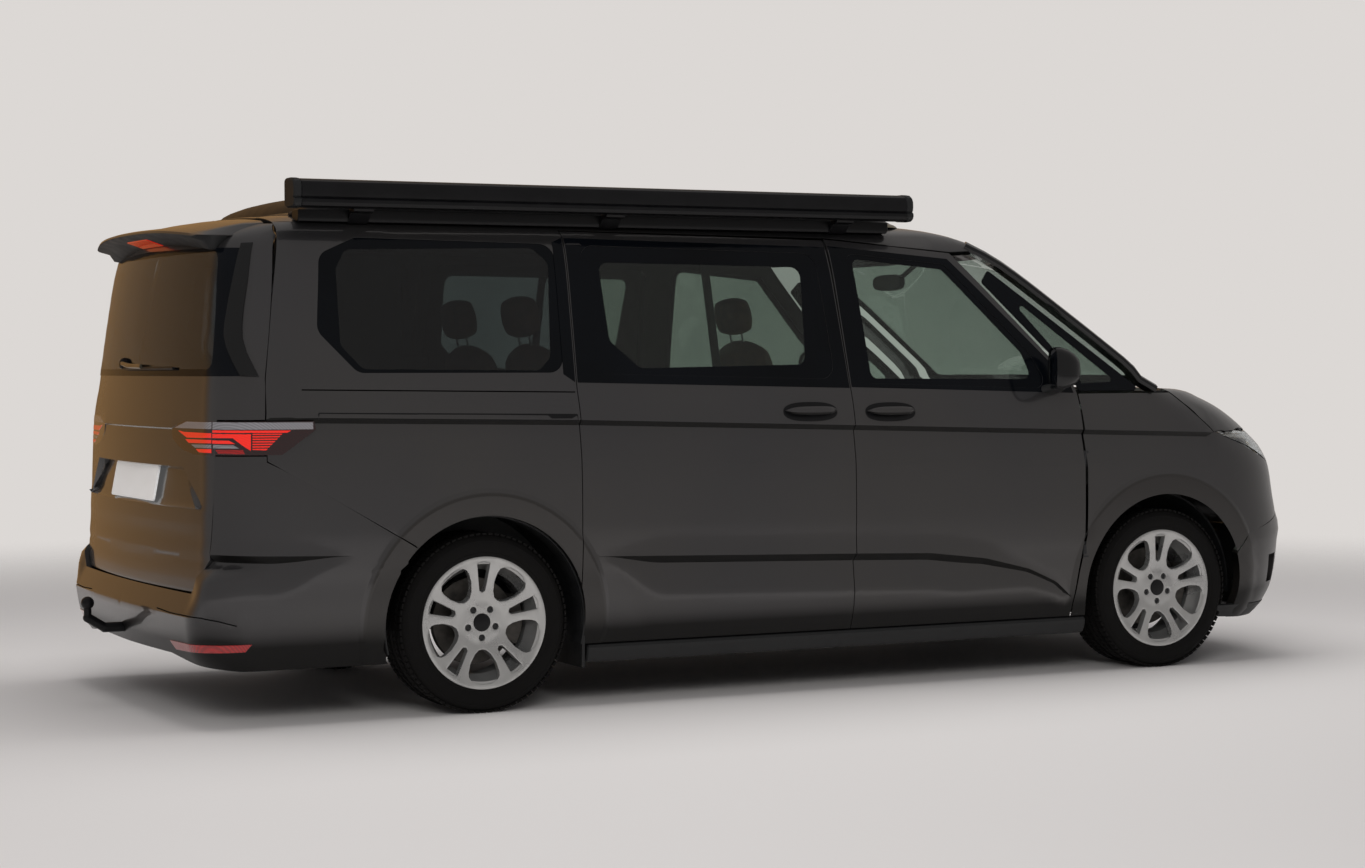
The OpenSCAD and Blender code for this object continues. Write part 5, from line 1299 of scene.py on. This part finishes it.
def ringTree(name, solid):
    # one block, or one bolt, on every point of a circle
    tree = bpy.data.node_groups.new(name, "GeometryNodeTree")
    for label, kind in (("Radius", "Float"), ("Count", "Int"), ("Length", "Float"), ("Width", "Float"), ("Height", "Float"),
                        ("Offset", "Float"), ("Skew", "Float"), ("Finish", "Material")):
        tree.interface.new_socket(name=label, in_out="INPUT", socket_type="NodeSocket" + kind)
    tree.interface.new_socket(name="Geometry", in_out="OUTPUT", socket_type="NodeSocketGeometry")
    given = addNode(tree, "NodeGroupInput").outputs
    circle = addNode(tree, "GeometryNodeMeshCircle", {"Vertices": given["Count"], "Radius": given["Radius"]})
    size = addNode(tree, "ShaderNodeCombineXYZ", {"X": given["Height"], "Y": given["Length"], "Z": given["Width"]})
    if solid == "block":
        block = addNode(tree, "GeometryNodeMeshCube", {"Size": size.outputs["Vector"]})
    else:
        block = addNode(tree, "GeometryNodeMeshCylinder", {"Vertices": 12, "Radius": given["Width"], "Depth": given["Height"]})
    index = addNode(tree, "GeometryNodeInputIndex")
    step = addNode(tree, "ShaderNodeMath", {0: math.tau, 1: given["Count"]}, operation="DIVIDE")
    turn = addNode(tree, "ShaderNodeMath", {0: index.outputs["Index"], 1: step.outputs["Value"]}, operation="MULTIPLY")
    spin = addNode(tree, "ShaderNodeCombineXYZ", {"X": given["Skew"], "Z": turn.outputs["Value"]})
    placed = addNode(tree, "GeometryNodeInstanceOnPoints", {"Points": circle.outputs["Mesh"], "Instance": block.outputs["Mesh"],
                                                            "Rotation": spin.outputs["Vector"]})
    real = addNode(tree, "GeometryNodeRealizeInstances", {"Geometry": placed.outputs["Instances"]})
    lift = addNode(tree, "ShaderNodeCombineXYZ", {"Z": given["Offset"]})
    moved = addNode(tree, "GeometryNodeTransform", {"Geometry": real.outputs["Geometry"], "Translation": lift.outputs["Vector"]})
    finish = addNode(tree, "GeometryNodeSetMaterial", {"Geometry": moved.outputs["Geometry"], "Material": given["Finish"]})
    addNode(tree, "NodeGroupOutput", {"Geometry": finish.outputs["Geometry"]})
    return tree


def ringMesh(tree, row, finish):
    holder = bpy.data.objects.new("ringHolder", bpy.data.meshes.new("ringHolder"))
    bpy.context.scene.collection.objects.link(holder)
    modifier = holder.modifiers.new("ring", "NODES")
    modifier.node_group = tree
    for item in tree.interface.items_tree:
        if item.in_out == "INPUT":
            modifier[item.identifier] = finish if item.name == "Finish" else row[item.name]
    holder.update_tag()
    bpy.context.view_layer.update()
    made = bpy.data.meshes.new_from_object(holder.evaluated_get(bpy.context.evaluated_depsgraph_get()))
    bpy.data.objects.remove(holder)
    return made


# rows in metres: shoulder blocks, inner blocks, bolts
shoulder = {"Radius": 0.3335, "Count": 84, "Length": 0.019, "Width": 0.036, "Height": 0.008, "Offset": 0.088, "Skew": 0.18}
inner = {"Radius": 0.3330, "Count": 84, "Length": 0.0185, "Width": 0.025, "Height": 0.008, "Offset": 0.038, "Skew": 0.5}
boltRow = {"Radius": 0.058, "Count": 5, "Length": 0.0, "Width": 0.0105, "Height": 0.034, "Offset": 0.058, "Skew": 0.0}
treads, bolts = ringTree("treadBlocks", "block"), ringTree("wheelBolts", "bolt")
treadMeshes = [ringMesh(treads, {**row, "Offset": s * row["Offset"], "Skew": s * row["Skew"]}, tyreRubber)
               for row in (shoulder, inner) for s in (1, -1)]
boltMesh = ringMesh(bolts, boltRow, chassisSteel)

# five pairs of spokes that run out to a thin lip, with the barrel and the brake disc behind
wheelFace = {"edge": 246, "lip": 236, "depth": 28, "dishR": (0, 60, 84, 130, 205, 228, 236, 246),
             "dishY": (82, 84, 83, 92, 104, 107, 112, 112), "boltCircle": 58, "boltHole": 16, "boltTurn": 54}
gapPolar = [(224, -14.5), (231, -8), (232, 0), (231, 8), (224, 14.5), (212, 18), (195, 19.6), (160, 20.2), (122, 16.5), (102, 9),
            (98, 0), (102, -9), (122, -16.5), (160, -20.2), (195, -19.6), (212, -18)]
slotPolar = [(228, -7.6), (232, 0), (228, 7.6), (170, 7.6), (118, 7), (108, 0), (118, -7), (170, -7.6)]
barrel = [(247, -110), (247, -103), (229, -100), (224, -70), (205, -40), (205, 40), (222, 75), (229, 100), (247, 103), (247, 110),
          (238, 111), (222, 100), (214, 75), (197, 42), (197, -42), (216, -72), (221, -100), (238, -112)]
disc = [(60, 32), (163, 32), (165, 30), (165, 6), (163, 4), (80, 4), (78, 2), (78, -40), (60, -40)]
wheelCap = ((3, 90.5), (14, 90), (28, 88.5), (33, 86.5), (34.5, 83), (34.5, 78))


def polarLoop(rows, turn, radius):
    rows = np.array(rows, float)
    a = np.radians(rows[:, 1] + turn)
    return roundCorners(np.stack([rows[:, 0] * np.cos(a), rows[:, 0] * np.sin(a)], 1), radius)


faceCuts = []
for k in range(5):
    a = math.radians(wheelFace["boltTurn"] + 72 * k)
    faceCuts += [polarLoop(slotPolar, 90 + 72 * k, 7), polarLoop(gapPolar, 54 + 72 * k, 8),
                 ringLoop(wheelFace["boltCircle"] * math.cos(a), wheelFace["boltCircle"] * math.sin(a), wheelFace["boltHole"], 20)]
for end, hubX in (("front", axleX), ("rear", -axleX)):
    def faceSurface(uv):
        dish = np.interp(np.hypot(uv[:, 0], uv[:, 1]), wheelFace["dishR"], wheelFace["dishY"])
        return np.stack([hubX + uv[:, 0], -wheelY - dish, axleZ + uv[:, 1]], 1)

    body = "wheel_%s_{}" % end
    face = panelMesh(faceSurface, ringLoop(0, 0, wheelFace["edge"], 90), faceCuts,
                     [closedLine(ringLoop(0, 0, wheelFace["lip"], 90))], wheelFace["depth"], step=14, rim=4)
    bothSides(end + "WheelFace", face, castAlloy, body, ["rim_%s_{}" % end], "rim_alloy", 36)
    for name, profile, material in (("WheelBarrel", barrel, castAlloy), ("BrakeDisc", disc, castIron)):
        points, faces = lathe(profile, 72)
        bothSides(end + name, (points + [hubX, -wheelY, axleZ], faces), material, body, None, "rim_alloy", 30)
for end, hub in (("front", frontHub), ("rear", rearHub)):
    for side, sign in (("right", -1), ("left", 1)):
        name = end + side.capitalize()
        body = "wheel_%s_%s" % (end, side)
        centre = [(hub.x - midX) * 1000, sign * wheelY, axleZ]
        points, faces = lathe(tyreProfile, 96)
        makeObject("tyre" + name, points + centre, faces, tyreRubber, body, ["tyre_%s_%s" % (end, side)], "tyre_rubber", 30)
        work = bmesh.new()
        for m in treadMeshes:
            work.from_mesh(m)
        turn = Matrix.Translation((hub.x, sign * wheelY / 1000, hub.z)) @ Matrix.Rotation(math.pi / 2, 4, "X")
        bmesh.ops.transform(work, matrix=turn, verts=work.verts)
        mesh = bpy.data.meshes.new("tread" + name)
        work.to_mesh(mesh)
        work.free()
        finishObject("tread" + name, mesh, tyreRubber, body, (), 30)
        mesh = boltMesh.copy()
        outer = Matrix.Rotation(math.radians(wheelFace["boltTurn"]), 4, "Z")
        mesh.transform(turn @ (outer if sign < 0 else Matrix.Scale(-1, 4, (0, 0, 1)) @ outer))
        mesh.materials.clear()
        finishObject("wheelBolts" + name, mesh, chassisSteel, body, (), 30)
        t = turns(40)
        rings = [np.stack([r * np.cos(t), np.full(40, sign * w), r * np.sin(t)], 1) + centre for r, w in wheelCap]
        makeObject("wheelCap" + name, *closedRings(rings), satinBlack, body, (), "rim_alloy", 30)
print("wheels ready")

# seats: stitched leather over foam
seatLeather = plainMaterial("seatLeather", "#86583a", "#a4714d", 40, 0.42, 0.58, 0.6, 2.2, 0.3)  # tanned hide, fine pebble
seats = {"front": {"x": 600, "ys": (-400, 400), "width": 520, "lift": 260, "node": "front_seats"},
         "rear": {"x": -750, "ys": (-330, 330), "width": 500, "lift": 240, "node": "rear_seats"}}
cabinFloor = 440
# size in metres with the width as a share, crown, and how far the cover may swell
padSizes = {"cushion": ((0.50, 1.0, 0.135), 0.016, 0.012), "backrest": ((0.125, 1.0, 0.60), 0.0, 0.012),
            "headrest": ((0.10, 0.235, 0.165), 0.0, 0.008)}
padPlaces = {"cushion": (0, 0.072, 0), "backrest": (-300, 0.43, -15.6), "headrest": (-404, 0.815, -11)}  # x, height, lean


def padMesh(name, size, crown):
    # a rounded box whose sides pull in between its corners
    def soft(a, b, c):
        return a * math.sqrt(max(0.0, 1 - b * b / 2 * 0.55 - c * c / 2 * 0.55 + b * b * c * c / 3 * 0.3))

    work = bmesh.new()
    bmesh.ops.create_cube(work, size=1.0)
    bmesh.ops.subdivide_edges(work, edges=work.edges, cuts=11, use_grid_fill=True)
    for v in work.verts:
        x, y, z = v.co * 2
        v.co = Vector((soft(x, y, z) * size[0] / 2, soft(y, z, x) * size[1] / 2, soft(z, x, y) * size[2] / 2))
        v.co.z += crown * (1 - x * x) * (1 - y * y) * (1 if z > 0 else 0.2)
    mesh = bpy.data.meshes.new(name)
    work.to_mesh(mesh)
    work.free()
    return mesh


def swell(mesh, cap):
    # foam filled out under its cover by the cloth solver, with the movement capped
    holder = bpy.data.objects.new("padHolder", mesh)
    bpy.context.scene.collection.objects.link(holder)
    before = np.array([v.co for v in mesh.vertices])
    cloth = holder.modifiers.new("cover", "CLOTH")
    cloth.settings.use_pressure = True
    cloth.settings.uniform_pressure_force = 4
    cloth.settings.effector_weights.gravity = 0
    cloth.point_cache.frame_start, cloth.point_cache.frame_end = 1, 20
    for f in range(1, 21):
        bpy.context.scene.frame_set(f)
    made = bpy.data.meshes.new_from_object(holder.evaluated_get(bpy.context.evaluated_depsgraph_get()))
    after = np.array([v.co for v in made.vertices])
    move = after - before
    size = np.linalg.norm(move, axis=1)
    move *= (np.minimum(size, cap) / np.maximum(size, 1e-9))[:, None]
    for v, p in zip(made.vertices, before + move):
        v.co = p
    bpy.context.scene.frame_set(1)
    bpy.data.objects.remove(holder)
    return made


def seatPad(kind, width):
    size, crown, cap = padSizes[kind]
    size = (size[0], width * size[1] if size[1] == 1.0 else size[1], size[2])
    mesh = padMesh(kind + "Base", size, crown)
    mesh = swell(mesh, cap)
    return mesh


for row, seat in seats.items():
    width = (seat["width"] - 30) / 1000
    pads = {kind: seatPad(kind, width - (0.02 if kind == "backrest" else 0)) for kind in padSizes}
    x, top = seat["x"], cabinFloor + seat["lift"]
    for k, y in enumerate(seat["ys"]):
        for kind, mesh in pads.items():
            shift, height, lean = padPlaces[kind]
            piece = mesh.copy()
            piece.transform(Matrix.Translation((midX + (x + shift) / 1000, y / 1000, top / 1000 + height))
                            @ Matrix.Rotation(math.radians(lean), 4, "Y"))
            nodes = [seat["node"]] if k == 0 and kind == "cushion" else ()
            made = finishObject("%sSeat%s%d" % (row, kind.capitalize(), k), piece, seatLeather, "body", nodes, 60)
            smoothing = made.modifiers.new("round", "SUBSURF")
            smoothing.levels = smoothing.render_levels = 1
        low, high, half = cabinFloor + 1, top - 3, seat["width"] / 2 - 60
        base = [(x - 200, low), (x + 200, low), (x + 215, high), (x - 215, high)]
        rows = [[(px, y + s * half, pz) for px, pz in base] for s in (-1, 1)]
        sides = [(0, 1, 2, 3), (7, 6, 5, 4), (0, 4, 5, 1), (1, 5, 6, 2), (2, 6, 7, 3), (3, 7, 4, 0)]
        makeObject("%sSeatBase%d" % (row, k), rows[0] + rows[1], sides, cabinPlastic, "body", (), "cabin_plastic", 20)
        for s in (-55, 55):
            t = turns(10)
            stem = [np.stack([px + 5 * np.cos(t), y + s + 5 * np.sin(t), np.full(10, float(pz))], 1)
                    for px, pz in ((x - 380, top + 690), (x - 398, top + 775))]
            makeObject("%sSeatStem%d_%d" % (row, k, s > 0), *closedRings(stem), chrome, "body", (), "seat_leather", 40)
print("seats ready")

# finishes of the CAD nodes that show as they are
nodeFinish = {
    chassisSteel: ("floor_pan", "front_subframe", "hinge_pins", "door_hinge_right", "door_hinge_left", "tailgate_hinges",
                   "bonnet_hinges", "pop_roof_hinges"),
    castIron: ("engine_block", "exhaust", "rear_axle", "knuckle_right", "knuckle_left"),
    cabinPlastic: ("dashboard", "steering_wheel"), grainPlastic: ("wheel_liners",), satinBlack: ("tow_bar",),
    cabinetWood: ("kitchen_unit",)}
for material, names in nodeFinish.items():
    for name in names:
        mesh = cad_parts[name].data
        mesh.materials.clear()
        mesh.materials.append(material)

# studio
view = {"at": (-5.34495, -10.04560, 1.30435), "yaw": 63.1612, "pitch": -1.52284, "roll": -0.25191, "focalPx": 2636.66,
        "widthPx": 1365, "sensorMm": 36}
camera = bpy.data.objects.new("camera", bpy.data.cameras.new("camera"))
bpy.context.scene.collection.objects.link(camera)
yaw, pitch, roll = (math.radians(view[k]) for k in ("yaw", "pitch", "roll"))
ahead = Vector((math.cos(pitch) * math.cos(yaw), math.cos(pitch) * math.sin(yaw), math.sin(pitch)))
right = ahead.cross(Vector((0, 0, 1))).normalized()
above = right.cross(ahead)
right, above = right * math.cos(roll) + above * math.sin(roll), above * math.cos(roll) - right * math.sin(roll)
camera.matrix_world = Matrix((right, above, -ahead)).transposed().to_4x4()
camera.location = Vector(view["at"]) + Vector((midX, 0, 0))
camera.data.sensor_width = view["sensorMm"]
camera.data.lens = view["sensorMm"] * view["focalPx"] / view["widthPx"]
camera.data.clip_end = 200
bpy.context.scene.camera = camera

# the floor thins out to the plain wall far from the object
floorShape = {"radius": 60, "solid": 4.0, "gone": 10.0, "z": -0.001, "sides": 96}
floorPaint, tree, shader = newMaterial("studioFloor", "#eeeae7", Roughness=0.8)
where = addNode(tree, "ShaderNodeTexCoord").outputs["Object"]
reach = addNode(tree, "ShaderNodeVectorMath", {0: where}, operation="LENGTH")
away = addNode(tree, "ShaderNodeMapRange", {"Value": reach.outputs["Value"], "From Min": floorShape["solid"],
                                            "From Max": floorShape["gone"]}, interpolation_type="SMOOTHSTEP")
thin = addNode(tree, "ShaderNodeBsdfTransparent")
mixed = addNode(tree, "ShaderNodeMixShader", {0: away.outputs["Result"], 1: shader.outputs[0], 2: thin.outputs[0]})
tree.links.new(mixed.outputs[0], tree.nodes["Material Output"].inputs["Surface"])
floorMesh = bpy.data.meshes.new("studioFloor")
floorMesh.from_pydata([(floorShape["radius"] * math.cos(a), floorShape["radius"] * math.sin(a), floorShape["z"])
                       for a in turns(floorShape["sides"])], [], [tuple(range(floorShape["sides"]))])
floorMesh.materials.append(floorPaint)
floor = bpy.data.objects.new("studioFloor", floorMesh)
bpy.context.scene.collection.objects.link(floor)

# the wall shows to the camera and through glass; gloss sees it dimmer, with a warm end beyond the tail
world = bpy.data.worlds.new("studio")
bpy.context.scene.world = world
world.use_nodes = True
tree = world.node_tree
tree.nodes.clear()
rays = addNode(tree, "ShaderNodeLightPath").outputs
straight = addNode(tree, "ShaderNodeMath", {0: rays["Is Camera Ray"], 1: rays["Is Transmission Ray"]}, operation="MAXIMUM")
where = addNode(tree, "ShaderNodeTexCoord").outputs["Generated"]
toward = addNode(tree, "ShaderNodeVectorMath", {0: where, 1: (-0.16, 0.987, 0.0)}, operation="DOT_PRODUCT")
warmth = addNode(tree, "ShaderNodeMapRange", {"Value": toward.outputs["Value"], "From Min": 0.55, "From Max": 0.9},
                 interpolation_type="SMOOTHSTEP")
backs = {}
for name, colour, strength in (("room", "#a9a8ab", 0.62), ("wall", "#dcd8d5", 1.0), ("dim", "#dcd8d5", 0.42),
                               ("warm", "#a07b50", 0.8)):
    backs[name] = addNode(tree, "ShaderNodeBackground", {"Color": hexColour(colour), "Strength": strength}).outputs[0]
gloss = addNode(tree, "ShaderNodeMixShader", {0: warmth.outputs["Result"], 1: backs["dim"], 2: backs["warm"]})
lit = addNode(tree, "ShaderNodeMixShader", {0: rays["Is Glossy Ray"], 1: backs["room"], 2: gloss.outputs[0]})
mixed = addNode(tree, "ShaderNodeMixShader", {0: straight.outputs[0], 1: lit.outputs[0], 2: backs["wall"]})
addNode(tree, "ShaderNodeOutputWorld", {"Surface": mixed.outputs[0]})


def softbox(name, at, aim, size, power):
    lamp = bpy.data.lights.new(name, "AREA")
    lamp.shape, lamp.size, lamp.size_y = "RECTANGLE", size[0], size[1]
    lamp.energy = power
    holder = bpy.data.objects.new(name, lamp)
    bpy.context.scene.collection.objects.link(holder)
    holder.location = at
    holder.rotation_euler = (Vector(aim) - Vector(at)).to_track_quat("-Z", "Y").to_euler()
    holder.visible_glossy = False


softbox("topBox", (0.2, 0, 6.0), (0.2, 0, 0), (7, 4), 250)
softbox("sideBox", (-5.0, -9, 5.0), (0, 0, 0.8), (6, 3), 310)
bpy.context.scene.view_settings.view_transform = "Standard"
print("studio ready")
